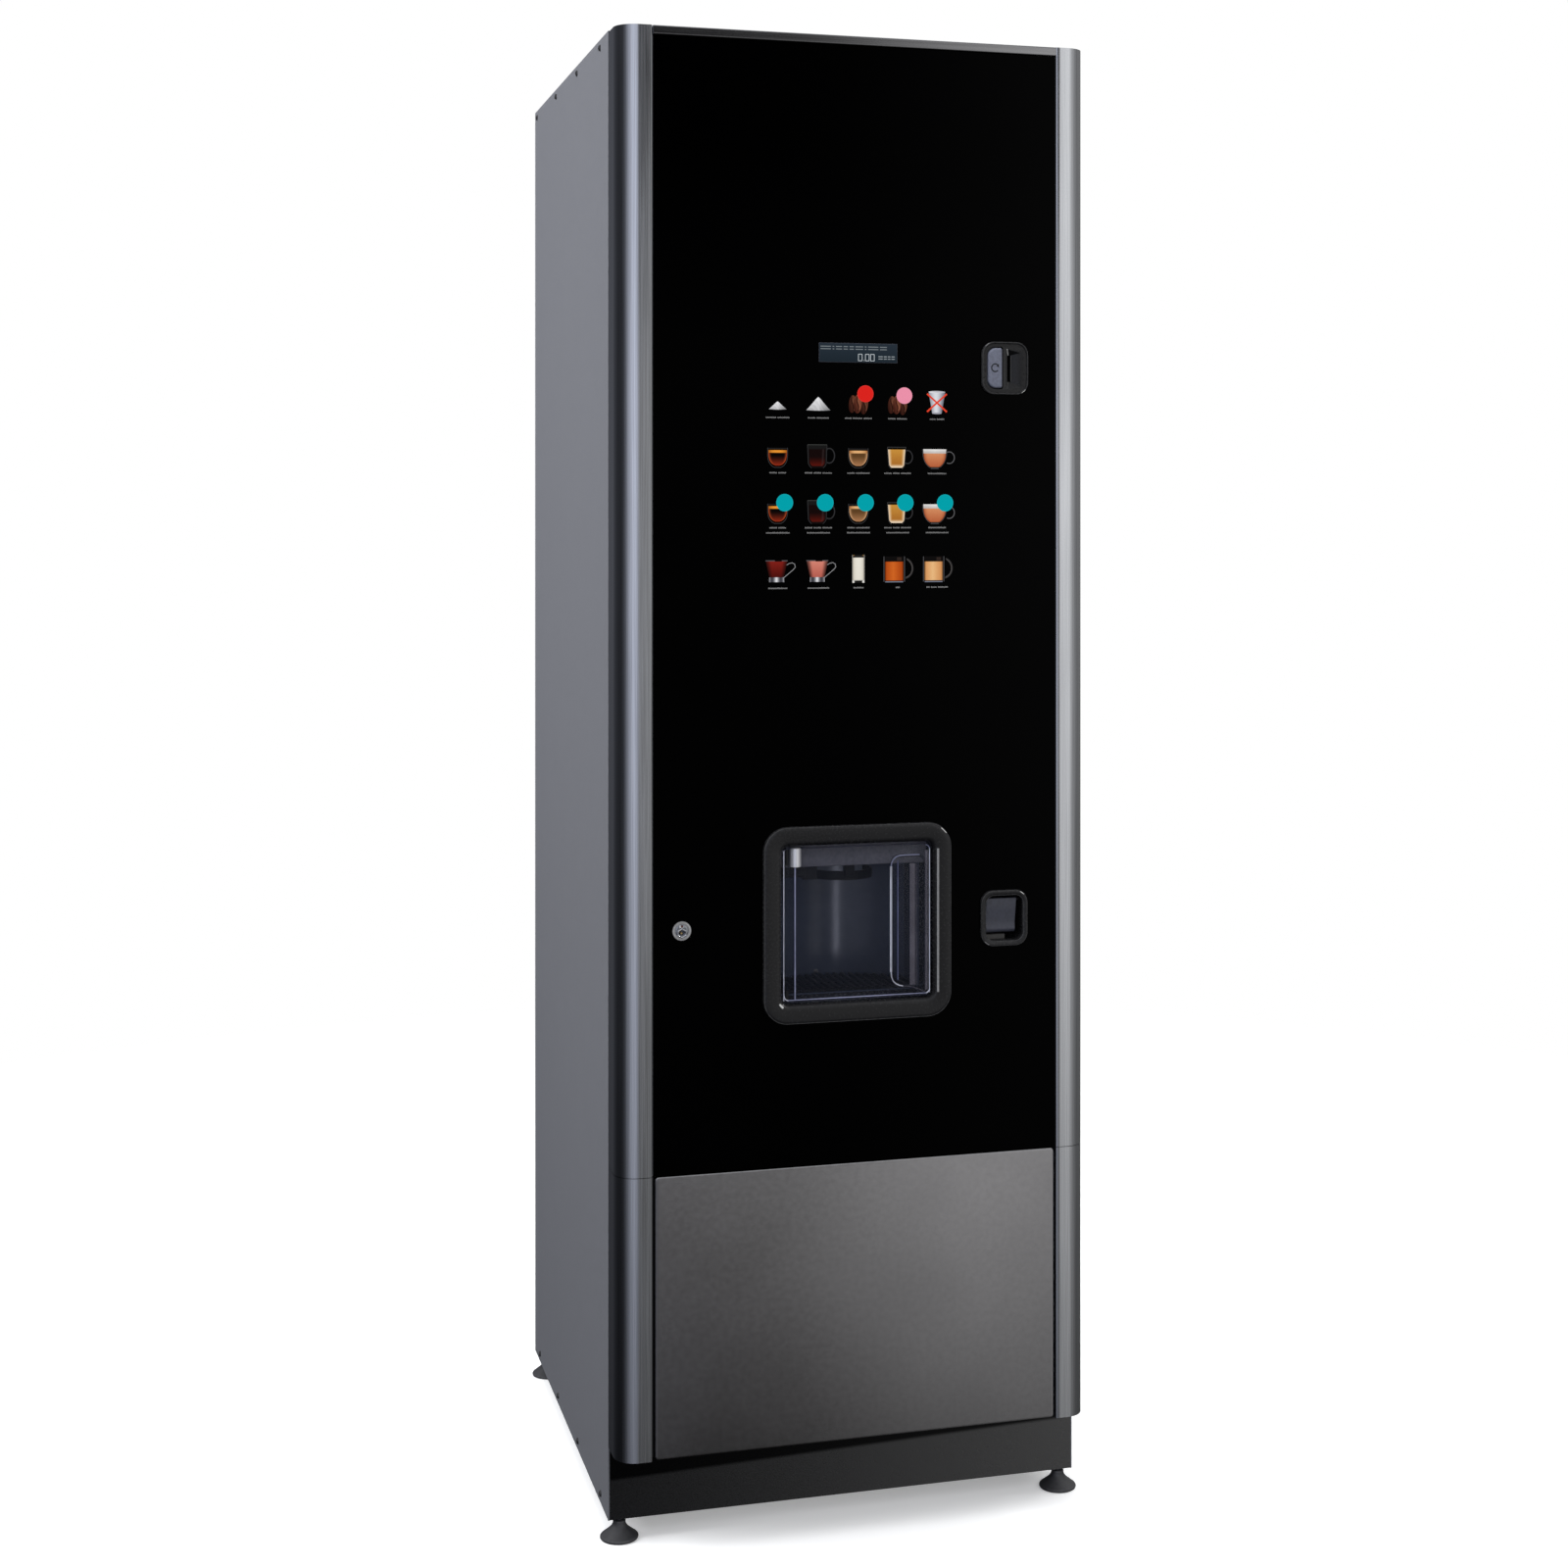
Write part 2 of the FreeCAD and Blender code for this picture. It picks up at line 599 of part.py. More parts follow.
def bezel(key, centre, middle, ring, plug, plug_depth):
    """Ring on the door front with a solid plug behind it, to be hollowed out.

    centre is its x, z on the door and middle the same point from the ring's corner;
    ring and plug are width, height, corner.
    """
    body = new_body(key + "_ring", centre[0] - middle[0], FRONT_Y, centre[1] - middle[1])
    pad(body, rectangle(body, key + "_ring_outline", "XZ", (0, 0, 0), *ring), BEZEL_PROUD)
    pad(body, centred(body, key + "_plug", middle, 0.0, *plug), plug_depth, reverse=True)
    return body


# delivery opening: front ring and tunnel through the door in one moulding
HATCH_MIDDLE = (109.5, 109.8)
HATCH_PIN_X, HATCH_PIN_Y = -83.0, -303.0
HATCH_PIN_RADIUS = 2.0
hatch_bezel = bezel("hatch", HATCH_CENTRE, HATCH_MIDDLE, ring=(219.0, 219.5, 28.0),
                    plug=(183.0, 183.0, 9.5), plug_depth=49.7)
pocket(hatch_bezel, centred(hatch_bezel, "hatch_opening", HATCH_MIDDLE, BEZEL_PROUD,
                            176.0, 176.0, 8.0))
ring_front = hatch_bezel.Shape.BoundBox.YMin
# long straight edges and large corner arcs of the front face
fillet(hatch_bezel, "hatch_ring_round", 2.2,
       lambda box: (near(box.YMin, ring_front) and near(box.YMax, ring_front)
                    and (box.XLength > 150 or box.ZLength > 150
                         or (box.XLength > 20 and box.ZLength > 20))))
piece("hatch_bezel", cut("hatch_ring_drilled", hatch_bezel,
                         rod("hatch_pin_hole", (HATCH_PIN_X, HATCH_PIN_Y, 592), "z",
                             HATCH_PIN_RADIUS + 0.05, 190)))

# delivery hatch: plate, hinge barrel at the left, dished finger pull at the right
PLATE_THICK, PULL_THICK = 3.0, 4.0
hatch = new_body("hatch_plate", -88.0, -301.5, 600.0)
pad(hatch, rectangle(hatch, "hatch_plate_outline", "XZ", (0, 0, 0), 172.4, 172.0, 7.0),
    PLATE_THICK)
pad(hatch, rectangle(hatch, "hatch_pull", "XZ", (125.0, 10.0, PLATE_THICK), 42.0, 150.0, 8.0),
    PULL_THICK)
pocket(hatch, rectangle(hatch, "hatch_pull_dish", "XZ",
                        (128.5, 13.5, PLATE_THICK + PULL_THICK), 35.0, 143.0, 6.0), 4.6)
piece("delivery_hatch", fuse(
    "hatch_with_barrel", hatch,
    rod("hatch_barrel", (HATCH_PIN_X, HATCH_PIN_Y, 600.5), "z", 4.0, 171.0),
    rod("hatch_pin", (HATCH_PIN_X, HATCH_PIN_Y, 596.0), "z", HATCH_PIN_RADIUS, 180.0)))

# coin entry: bezel with a button window and a slot at the bottom of a funnel
COIN_MIDDLE = (27.7, 29.95)
coin = bezel("coin", COIN_CENTRE, COIN_MIDDLE, ring=(55.4, 59.9, 14.5),
             plug=(46.0, 50.0, 9.0), plug_depth=21.5)
# name, left x, low z, width, height, corner, depth (None cuts through)
for key, x, z, width, height, corner, depth in (
        ("coin_button_window", 150.0, 1286.2, 19.4, 47.8, 6.0, None),
        ("coin_slot", 177.2, 1294.5, 3.0, 30.5, 0, None),
        ("coin_funnel", 172.2, 1290.0, 21.5, 40.0, 5.0, 3.2)):
    place = (x - COIN_CENTRE[0] + COIN_MIDDLE[0], z - COIN_CENTRE[1] + COIN_MIDDLE[1],
             BEZEL_PROUD)
    pocket(coin, rectangle(coin, key, "XZ", place, width, height, corner), depth)
piece("coin_entry_bezel", coin)

# coin return button, rounded at its front
button = new_body("coin_key", 150.4, -290.0, 1286.6)
pad(button, rectangle(button, "coin_key_outline", "XZ", (0, 0, 0), 18.6, 47.0, 5.6), 20.9)
button_front = button.Shape.BoundBox.YMin
fillet(button, "coin_key_round", 1.2,
       lambda box: near(box.YMin, button_front) and near(box.YMax, button_front))
piece("coin_return_button", button)

# coin return: bezel with a cup behind it, and a flap on a cross pin
RETURN_MIDDLE = (27.9, 31.6)
FLAP_PIN_Y, FLAP_PIN_Z, FLAP_PIN_RADIUS = -303.5, 704.0, 1.5
cup = bezel("return", RETURN_CENTRE, RETURN_MIDDLE, ring=(55.8, 63.2, 14.5),
            plug=(46.0, 53.0, 9.5), plug_depth=61.0)
pocket(cup, centred(cup, "return_hollow", RETURN_MIDDLE, BEZEL_PROUD, 42.8, 50.0, 9.0), 64.5)
piece("coin_return_cup", cut("return_drilled", cup,
                             rod("return_pin_hole", (148.6, FLAP_PIN_Y, FLAP_PIN_Z), "x",
                                 FLAP_PIN_RADIUS + 0.05, 44.8)))
flap = new_body("flap_plate", 150.4, -302.6, 661.0)
pad(flap, rectangle(flap, "flap_outline", "XZ", (0, 0, 0), 41.2, 45.6, 6.0), 1.8)
piece("return_flap", fuse("flap_with_pin", flap,
                          rod("flap_pin", (149.0, FLAP_PIN_Y, FLAP_PIN_Z), "x",
                              FLAP_PIN_RADIUS, 44.0)))


# lock: fixed ring, barrel and nut; turning plug with its cam behind the liner
def lock_rod(key, y, radius, length, drop=0.0):
    return rod(key, (LOCK_X, y, LOCK_Z - drop), "y", radius, length)


piece("lock_housing", cut(
    "lock_bored",
    fuse("lock_fixed", lock_rod("lock_ring", FRONT_Y - 2.4, 10.5, 2.4),
         lock_rod("lock_barrel", FRONT_Y - 0.2, 9.0, 36.7),
         lock_rod("lock_nut", -285.0, 12.5, 8.0)),
    lock_rod("lock_bore", FRONT_Y - 5, 7.55, 60)))
piece("lock_cylinder", cut(
    "lock_plug_slotted",
    fuse("lock_plug_set", lock_rod("lock_plug", FRONT_Y - 1.9, 7.5, 63.4),
         block("lock_cam", (LOCK_X - 7, LOCK_X + 7), (-247.4, -244.4),
               (LOCK_Z - 58, LOCK_Z + 9))),
    lock_rod("lock_keyway", FRONT_Y - 3, 3.4, 9.0, drop=2.2)))

# coin mechanism on the inside of the door
piece("coin_changer", cut(
    "changer_slotted",
    fuse("changer_set", block("changer_case", (128, 228), (-252, -168), (930, 1292)),
         block("changer_head", (150, 196), (-283.5, -240), (1284, 1336)),
         *[rod(f"changer_tube_{i}", (140 + 25 * i, -164, 945), "z", 10.5, 230)
           for i in range(4)]),
    block("changer_throat", (176.5, 181.5), (-284, -262), (1292, 1340))))

# cash box standing on the liner shelf
piece("cash_box", tray("cash_tray", (130.0, -250.0, 440.0), "XY", (100.0, 78.0), depth=120.0,
                       wall=2.0, floor=3.0, corners=(6.0, 4.5)))

# ================= inside the cabinet =================
piece("machine_deck", cut(
    "deck_cut", block("deck_sheet", (-272.5, 272.5), (-245, 302), (578, 580)),
    block("deck_cash_notch", (97, 280), (-246, -150), (570, 590)),
    block("deck_chute_window", (20, 92), (76, 146), (570, 590)),
    block("deck_hose_window", (150, 240), (110, 140), (570, 590))))

# path of a falling cup: x, y under the turret and at the station roof
DROP_TOP = (-52.0, -125.0)
DROP_LOW = (-1.5, -207.0)

# delivery station: open to the front, arched back wall, two holes in the roof
STATION_X, STATION_Y, STATION_TALL = -97.0, -250.0, 207.0
station = new_body("station_shell", STATION_X, STATION_Y, 585.0)
pad(station, rectangle(station, "station_outline", "XY", (0, 0, 0), 190.4, 100.0, 4.0),
    STATION_TALL)
pocket(station, arched(station, "station_cavity", lift=13.0, left=8.0, right=182.4, front=-6.0,
                       side=50.0, crown=94.0), 180.0, reverse=True)
drop_place = (DROP_LOW[0] - STATION_X, DROP_LOW[1] - STATION_Y, STATION_TALL)
pocket(station, disc(station, "station_drop", "XY", drop_place, 39.0), 20.0)
pocket(station, rectangle(station, "station_spouts", "XY", (14.0, 22.0, STATION_TALL),
                          38.0, 40.0, 4.0), 20.0)
piece("cup_station", station)

# drip grille with slots
grille = new_body("grille_plate", -88.0, -249.0, 598.2)
pad(grille, arched(grille, "grille_outline", lift=0.0, left=0.0, right=172.4, front=0.0,
                   side=48.5, crown=91.8), 4.0)
slot = pocket(grille, rectangle(grille, "grille_slot", "XY", (20.0, 10.0, 4.0), 4.0, 54.0, 1.9))
repeat(grille, "grille_slots", slot, "H_Axis", 8.0, 17)
piece("drip_grille", grille)

# nozzle block on the roof of the station
piece("nozzle_block", fuse(
    "nozzle_set", block("nozzle_case", (-84, -46), (-229, -187), (792.2, 812)),
    *[rod(f"nozzle_tube_{i}", (-74 + 18 * (i % 2), -216 + 18 * (i // 2), 770), "z", 3.5, 52)
      for i in range(4)]))

# cup drop chute: slanting tapered tube
CHUTE_WALL = 2
chute = new_body("chute_tube", *DROP_TOP, 0.0)
chute_top = (0, 0, 1240)
chute_low = (DROP_LOW[0] - DROP_TOP[0], DROP_LOW[1] - DROP_TOP[1], 793)
chute_rings = [disc(chute, key, "XY", place, radius) for key, place, radius in (
    ("chute_out_top", chute_top, 44), ("chute_out_low", chute_low, 39.5),
    ("chute_in_top", chute_top, 44 - CHUTE_WALL), ("chute_in_low", chute_low, 39.5 - CHUTE_WALL))]
add_loft(chute, "chute_wall", *chute_rings[:2])
cut_loft(chute, "chute_bore", *chute_rings[2:])
piece("cup_chute", chute)

# cup turret: five tubes round a hub, turning on the spindle of its base
TURRET_X, TURRET_Y = -105.0, -72.0
piece("turret_base", cut(
    "turret_base_cut",
    fuse("turret_base_set", block("turret_plate", (-238, 24), (-195, 60), (1244, 1247)),
         block("turret_motor", (-230, -175), (-185, -130), (1180, 1244.5)),
         rod("turret_spindle", (TURRET_X, TURRET_Y, 1246), "z", 6.0, 330)),
    rod("turret_drop", (*DROP_TOP, 1240), "z", 43.0, 20)))
turret = new_body("turret_wheel", TURRET_X, TURRET_Y, 1249.0)
TUBE_PLACE = (53.03, -53.03, 0.0)
pad(turret, disc(turret, "turret_disc", "XY", (0, 0, 0), 119.0), 3.0)
pad(turret, disc(turret, "turret_hub", "XY", (0, 0, 0), 14.0), 318.0)
tube = pad(turret, disc(turret, "turret_tube", "XY", TUBE_PLACE, 41.0), 340.0)
tube_bore = pocket(turret, disc(turret, "turret_tube_bore", "XY", TUBE_PLACE, 39.2), 341.0,
                   reverse=True)
tubes = turret.newObject("PartDesign::PolarPattern", "turret_tubes")
tubes.Originals = [tube, tube_bore]
tubes.Axis = (origin_part(turret, "Z_Axis"), [""])
tubes.Angle = 360
tubes.Occurrences = 5
turret.Tip = tubes
refresh(tubes, turret)
pocket(turret, disc(turret, "turret_bore", "XY", (0, 0, 0), 6.06), 400.0, reverse=True)
piece("cup_turret", turret)

piece("canister_shelf", block("shelf_sheet", (-272.5, -12), (-55.8, 302), (998, 1000)))

# powder canisters with their augers
CANISTER_WIDTH, CANISTER_WALL = 54.0, 2.5
AUGER_Z, AUGER_SHAFT_RADIUS = 1021, 3.0


def canister(key, x):
    """Bin open at the top, with a spout on its front that opens downwards."""
    body = new_body(key + "_box", x - CANISTER_WIDTH / 2, -56.0, 1000.2)
    pad(body, rectangle(body, key + "_outline", "YZ", (0, 0, 0), 206, 226), CANISTER_WIDTH)
    inside = outline(body, key + "_inside", "YZ",
                     [(0, 20), (0, 0), (201, 0), (201, 218.5), (0, 218.5)],
                     (CANISTER_WALL, 8.0, CANISTER_WALL))
    pocket(body, inside, CANISTER_WIDTH - 2 * CANISTER_WALL, reverse=True)
    pad(body, rectangle(body, key + "_spout", "XZ", (14.5, -8.0, 0.0), 25.0, 44.0), 40.0)
    pocket(body, rectangle(body, key + "_spout_hole", "XY", (17.0, -37.0, -8.0), 20.0, 38.0),
           40.0, reverse=True)
    piece(key, cut(key + "_drilled", body,
                   rod(key + "_auger_hole", (x, -60, AUGER_Z), "y", 11.3, 8),
                   rod(key + "_shaft_hole", (x, 140, AUGER_Z), "y",
                       AUGER_SHAFT_RADIUS + 0.06, 20)))


def auger(key, x):
    """Shaft with a row of discs for flights."""
    flights = [rod(f"{key}_flight_{i}", (x, -50 + 19.5 * i, AUGER_Z), "y", 10.5, 2.4)
               for i in range(10)]
    shaft = rod(key + "_shaft", (x, -82, AUGER_Z), "y", AUGER_SHAFT_RADIUS, 240)
    piece(key, fuse(key + "_set", shaft, *flights))


for i, powder in enumerate(("sugar", "milk", "chocolate", "tea")):
    canister("canister_" + powder, -222.0 + 58.0 * i)
    auger("auger_" + powder, -222.0 + 58.0 * i)

# mixers: funnel bowl with a motor behind and a port below
MIXER_Y = -96
for key, x in (("mixer_left", -193.0), ("mixer_right", -77.0)):
    piece(key, cut(
        key + "_cut",
        fuse(key + "_set",
             rod(key + "_cone", (x, MIXER_Y, 900), "z", 14.0, 30.0, end_radius=34.0),
             rod(key + "_rim", (x, MIXER_Y, 929.9), "z", 34.0, 30.0),
             rod(key + "_motor", (x, -62.5, 915), "y", 19.0, 66.0),
             rod(key + "_port", (x, MIXER_Y, 880), "z", 6.0, 21.0)),
        rod(key + "_inner", (x, MIXER_Y, 903), "z", 12.0, 27.1, end_radius=31.8),
        rod(key + "_mouth", (x, MIXER_Y, 930), "z", 31.8, 32.0)))

# bean hopper: rectangular funnel with an upright bin above it
hopper = new_body("hopper_bin", -10.0, 60.0, 0.0)
hopper_sections = [rectangle(hopper, key, "XY", place, width, depth)
                   for key, place, width, depth in (
                       ("hopper_low", (45, 75, 1400), 50, 50),
                       ("hopper_high", (0, 0, 1480), 140, 210),
                       ("hopper_low_in", (48, 78, 1399), 44, 44),
                       ("hopper_high_in", (3, 3, 1481), 134, 204))]
add_loft(hopper, "hopper_funnel", *hopper_sections[:2])
pad(hopper, rectangle(hopper, "hopper_upright", "XY", (0, 0, 1480.0), 140.0, 210.0), 160.0)
pocket(hopper, rectangle(hopper, "hopper_room", "XY", (3.0, 3.0, 1640.0), 134.0, 204.0), 159.5)
cut_loft(hopper, "hopper_throat", *hopper_sections[2:])
piece("bean_hopper", hopper)
piece("bean_hopper_lid", fuse(
    "hopper_lid_set", block("hopper_lid_plate", (-11.5, 131.5), (58.5, 271.5), (1640.4, 1643.4)),
    block("hopper_lid_grip", (40, 80), (62, 72), (1643, 1650))))

GRINDER_X, GRINDER_Y = 60, 160
piece("grinder", fuse(
    "grinder_set", rod("grinder_case", (GRINDER_X, GRINDER_Y, 1300), "z", 50.0, 80.0),
    rod("grinder_collar", (GRINDER_X, GRINDER_Y, 1379), "z", 30.0, 20.8),
    rod("grinder_motor", (GRINDER_X, GRINDER_Y, 1205), "z", 38.0, 96.0),
    block("grinder_spout", (45, 75), (80, 125), (1300, 1330))))

# brewer: frame with a grounds chute below, and the piston in its bore
PISTON_X, PISTON_Y, PISTON_RADIUS = 60, 130, 26.0
piece("brewer_frame", cut(
    "brewer_cut",
    fuse("brewer_set", block("brewer_case", (5, 115), (60, 200), (900, 1180)),
         block("brewer_chute", (27, 85), (82, 140), (425, 901))),
    block("brewer_window", (15, 105), (59, 150), (930, 1150)),
    rod("brewer_bore", (PISTON_X, PISTON_Y, 1110), "z", PISTON_RADIUS + 0.1, 90),
    block("brewer_chute_inner", (29, 83), (84, 138), (420, 932))))
piece("brewer_piston", fuse(
    "piston_set", rod("piston_head", (PISTON_X, PISTON_Y, 1118), "z", PISTON_RADIUS, 50.0),
    rod("piston_rod", (PISTON_X, PISTON_Y, 1160), "z", 9.0, 17.0)))

BOILER_X, BOILER_Y = 190, 200
piece("boiler", fuse(
    "boiler_set", rod("boiler_tank", (BOILER_X, BOILER_Y, 640), "z", 58.0, 200.0),
    rod("boiler_top", (BOILER_X, BOILER_Y, 839.9), "z", 58.0, 14.0, end_radius=40.0),
    rod("boiler_leg", (BOILER_X, BOILER_Y, 580.2), "z", 30.0, 60.0),
    rod("boiler_port", (BOILER_X, BOILER_Y, 850), "z", 6.0, 24.0)))
piece("water_pump", fuse(
    "pump_set", block("pump_case", (168, 212), (20, 64), (590, 650)),
    rod("pump_coil", (190, 42, 649.9), "z", 19.0, 34.0),
    block("pump_foot", (162, 218), (16, 68), (580.2, 590.1))))
piece("control_box", fuse(
    "control_set", block("control_case", (214, 270), (-100, 280), (900, 1300)),
    block("control_rail", (206, 214.2), (-60, 240), (1080, 1110))))

# service inlets in the rear windows
piece("service_inlets", group(
    "inlet_pair",
    fuse("water_inlet", block("inlet_plate", (118, 202), (285, 288), (66, 148)),
         rod("inlet_spigot", (160, 287.5, 108), "y", 9.5, 17.5)),
    cut("mains_inlet", block("mains_case", (-199, -152), (266, 306.2), (82, 113)),
        block("mains_cavity", (-195, -156), (290, 310), (86, 109)))))

piece("waste_bin", tray("grounds_bin", (-240.0, -200.0, 66.0), "XY", (330.0, 350.0),
                        depth=350.0, wall=2.5, floor=3.5, corners=(24.0, 21.5)))

# hose centre lines: x, y, z of the points each hose passes through
HOSE_PATHS = [
    [(-193, -96, 874), (-185, -110, 852), (-120, -185, 842), (-74, -216, 829)],
    [(-77, -96, 874), (-72, -118, 858), (-60, -180, 846), (-56, -212, 829)],
    [(60, 205, 1060), (80, 225, 1050), (150, 225, 960), (190, 200, 876)],
    [(160, 282, 108), (160, 240, 130), (195, 150, 300), (195, 125, 560), (197, 100, 610)],
]


def hose(points):
    """Solid round bar swept along a smooth curve."""
    curve = Part.BSplineCurve()
    curve.interpolate([Vector(*point) for point in points])
    path = Part.Wire([curve.toShape()])
    tangent = curve.tangent(curve.FirstParameter)[0]
    ring = Part.Wire([Part.makeCircle(HOSE_RADIUS, Vector(*points[0]), tangent)])
    return path.makePipeShell([ring], True, True)


hoses = doc.addObject("Part::Feature", "hose_set")
hoses.Shape = Part.makeCompound([hose(points) for points in HOSE_PATHS])
piece("water_hoses", hoses)

# ---- checks, then one file per piece ----
doc.recompute()
faults = []
for obj in doc.Objects:
    if any(flag in ("Invalid", "Error") for flag in obj.State):
        faults.append(f"{obj.Name}: {obj.State}")
if len({obj.Label for obj in pieces}) != len(pieces):
    faults.append("duplicate labels")
for obj in pieces:
    if obj.Shape.isNull() or not obj.Shape.isValid() or not obj.Shape.Solids:
        faults.append(f"{obj.Label}: bad shape")
if faults:
    raise RuntimeError("; ".join(faults))
for obj in pieces:
    obj.Shape.exportStep(f"parts/{obj.Label}.step")
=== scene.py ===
import json
import math
import random
import bpy
import bmesh
from mathutils import Vector, Matrix
from mathutils.geometry import tessellate_polygon

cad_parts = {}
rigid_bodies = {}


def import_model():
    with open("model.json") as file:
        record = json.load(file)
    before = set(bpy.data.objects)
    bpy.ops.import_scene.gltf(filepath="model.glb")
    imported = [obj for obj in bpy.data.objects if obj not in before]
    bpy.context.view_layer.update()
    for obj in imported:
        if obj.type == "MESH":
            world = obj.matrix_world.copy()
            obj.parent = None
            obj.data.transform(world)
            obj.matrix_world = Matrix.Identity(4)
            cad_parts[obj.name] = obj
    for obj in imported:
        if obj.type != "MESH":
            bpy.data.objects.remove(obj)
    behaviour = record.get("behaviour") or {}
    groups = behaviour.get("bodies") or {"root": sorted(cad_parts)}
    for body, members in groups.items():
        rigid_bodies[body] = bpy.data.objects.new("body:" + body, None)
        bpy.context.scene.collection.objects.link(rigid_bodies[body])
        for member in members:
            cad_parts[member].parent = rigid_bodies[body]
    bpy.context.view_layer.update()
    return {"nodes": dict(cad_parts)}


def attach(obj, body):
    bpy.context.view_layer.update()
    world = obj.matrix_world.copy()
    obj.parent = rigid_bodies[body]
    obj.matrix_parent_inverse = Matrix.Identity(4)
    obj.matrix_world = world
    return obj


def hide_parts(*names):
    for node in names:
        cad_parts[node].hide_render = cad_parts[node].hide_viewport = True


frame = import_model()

NODES = frame["nodes"]
MM = 0.001
rng = random.Random(7)

# ------------------------------------------------------------------ materials
MATS = {}


def srgb(*c):
    return tuple((x / 255.0 / 12.92) if x / 255.0 <= 0.04045 else ((x / 255.0 + 0.055) / 1.055) ** 2.4 for x in c)


class Tree:
    def __init__(self, name):
        self.m = bpy.data.materials.new(name)
        self.m.use_nodes = True
        self.t = self.m.node_tree
        self.t.nodes.clear()
        self.out = self.add("ShaderNodeOutputMaterial")
        self.p = self.add("ShaderNodeBsdfPrincipled")
        self.link(self.p.outputs[0], self.out.inputs["Surface"])
        self.co = self.add("ShaderNodeTexCoord").outputs["Object"]

    def add(self, kind, **kw):
        n = self.t.nodes.new(kind)
        for k, v in kw.items():
            setattr(n, k, v)
        return n

    def link(self, a, b):
        self.t.links.new(a, b)

    def scaled(self, sx, sy, sz):
        n = self.add("ShaderNodeVectorMath", operation="MULTIPLY")
        self.link(self.co, n.inputs[0])
        n.inputs[1].default_value = (sx, sy, sz)
        return n.outputs[0]

    def noise(self, vec, scale=1.0, detail=4.0, rough=0.55):
        n = self.add("ShaderNodeTexNoise")
        n.inputs["Scale"].default_value = scale
        n.inputs["Detail"].default_value = detail
        n.inputs["Roughness"].default_value = rough
        self.link(vec, n.inputs["Vector"])
        return n.outputs["Fac"]

    def remap(self, fac, lo, hi, a=0.3, b=0.7):
        n = self.add("ShaderNodeMapRange")
        n.inputs["From Min"].default_value = a
        n.inputs["From Max"].default_value = b
        n.inputs["To Min"].default_value = lo
        n.inputs["To Max"].default_value = hi
        self.link(fac, n.inputs["Value"])
        return n.outputs[0]

    def mixc(self, fac, a, b):
        n = self.add("ShaderNodeMix", data_type="RGBA")
        for sock, v in ((n.inputs[0], fac), (n.inputs[6], a), (n.inputs[7], b)):
            if hasattr(v, "is_output"):
                self.link(v, sock)
            elif isinstance(v, (int, float)):
                sock.default_value = v
            else:
                sock.default_value = (*v, 1.0)
        return n.outputs[2]

    def math(self, op, a, b=0.0):
        n = self.add("ShaderNodeMath", operation=op)
        for sock, v in ((n.inputs[0], a), (n.inputs[1], b)):
            if hasattr(v, "is_output"):
                self.link(v, sock)
            else:
                sock.default_value = v
        return n.outputs[0]

    def bump(self, height, strength, dist=0.0004):
        n = self.add("ShaderNodeBump")
        n.inputs["Strength"].default_value = strength
        n.inputs["Distance"].default_value = dist
        self.link(height, n.inputs["Height"])
        self.link(n.outputs[0], self.p.inputs["Normal"])
        return n

    def edges(self, lo=0.505, hi=0.56):
        g = self.add("ShaderNodeNewGeometry")
        return self.remap(g.outputs["Pointiness"], 0.0, 1.0, lo, hi)


def bevel_edges(t, radius):
    """Edge mask for flat sheets with few vertices: where the rounded normal leaves the true one."""
    b = t.add("ShaderNodeBevel", samples=4)
    b.inputs["Radius"].default_value = radius
    g = t.add("ShaderNodeNewGeometry")
    d = t.add("ShaderNodeVectorMath", operation="DOT_PRODUCT")
    t.link(b.outputs[0], d.inputs[0])
    t.link(g.outputs["Normal"], d.inputs[1])
    return t.remap(d.outputs["Value"], 0.0, 1.0, 0.985, 0.80)


def surface(name, rgb, rough=0.5, metal=0.0, var=0.12, spots=(260, 260, 260), fine=(1600, 1600, 1600), bump=0.15, rvar=0.08,
            wear=0.25, wear_rgb=None, coat=0.0, spec=0.5, large=2.5, dist=0.0003, sheet=0.0):
    """One general finish: broad mottling, fine grain in colour and height, uneven gloss, paler worn edges."""
    if name in MATS:
        return MATS[name]
    t = Tree(name)
    big = t.noise(t.scaled(large, large, large), 1.0, 3.0)
    mid = t.noise(t.scaled(*spots), 1.0, 3.0)
    fin = t.noise(t.scaled(*fine), 1.0, 2.0)
    dark = tuple(c * (1 - var) for c in rgb)
    lite = tuple(min(1.0, c * (1 + var)) for c in rgb)
    col = t.mixc(t.remap(mid, 0.0, 1.0), dark, lite)
    col = t.mixc(t.remap(big, 0.0, 0.35), col, tuple(c * (1 - var * 0.8) for c in rgb))
    e = t.math("MULTIPLY", bevel_edges(t, sheet) if sheet else t.edges(), t.remap(mid, 0.1, wear, 0.35, 0.6))
    col = t.mixc(e, col, wear_rgb or tuple(min(1.0, c * 1.8 + 0.03) for c in rgb))
    t.link(col, t.p.inputs["Base Color"])
    r = t.math("ADD", t.remap(mid, rough - rvar, rough + rvar), t.remap(big, -0.04, 0.05))
    t.link(r, t.p.inputs["Roughness"])
    t.p.inputs["Metallic"].default_value = metal
    t.p.inputs["Specular IOR Level"].default_value = spec
    if coat:
        t.p.inputs["Coat Weight"].default_value = coat
        t.p.inputs["Coat Roughness"].default_value = 0.12
    t.bump(t.math("ADD", fin, t.math("MULTIPLY", mid, 0.5)), bump, dist)
    MATS[name] = t.m
    return t.m


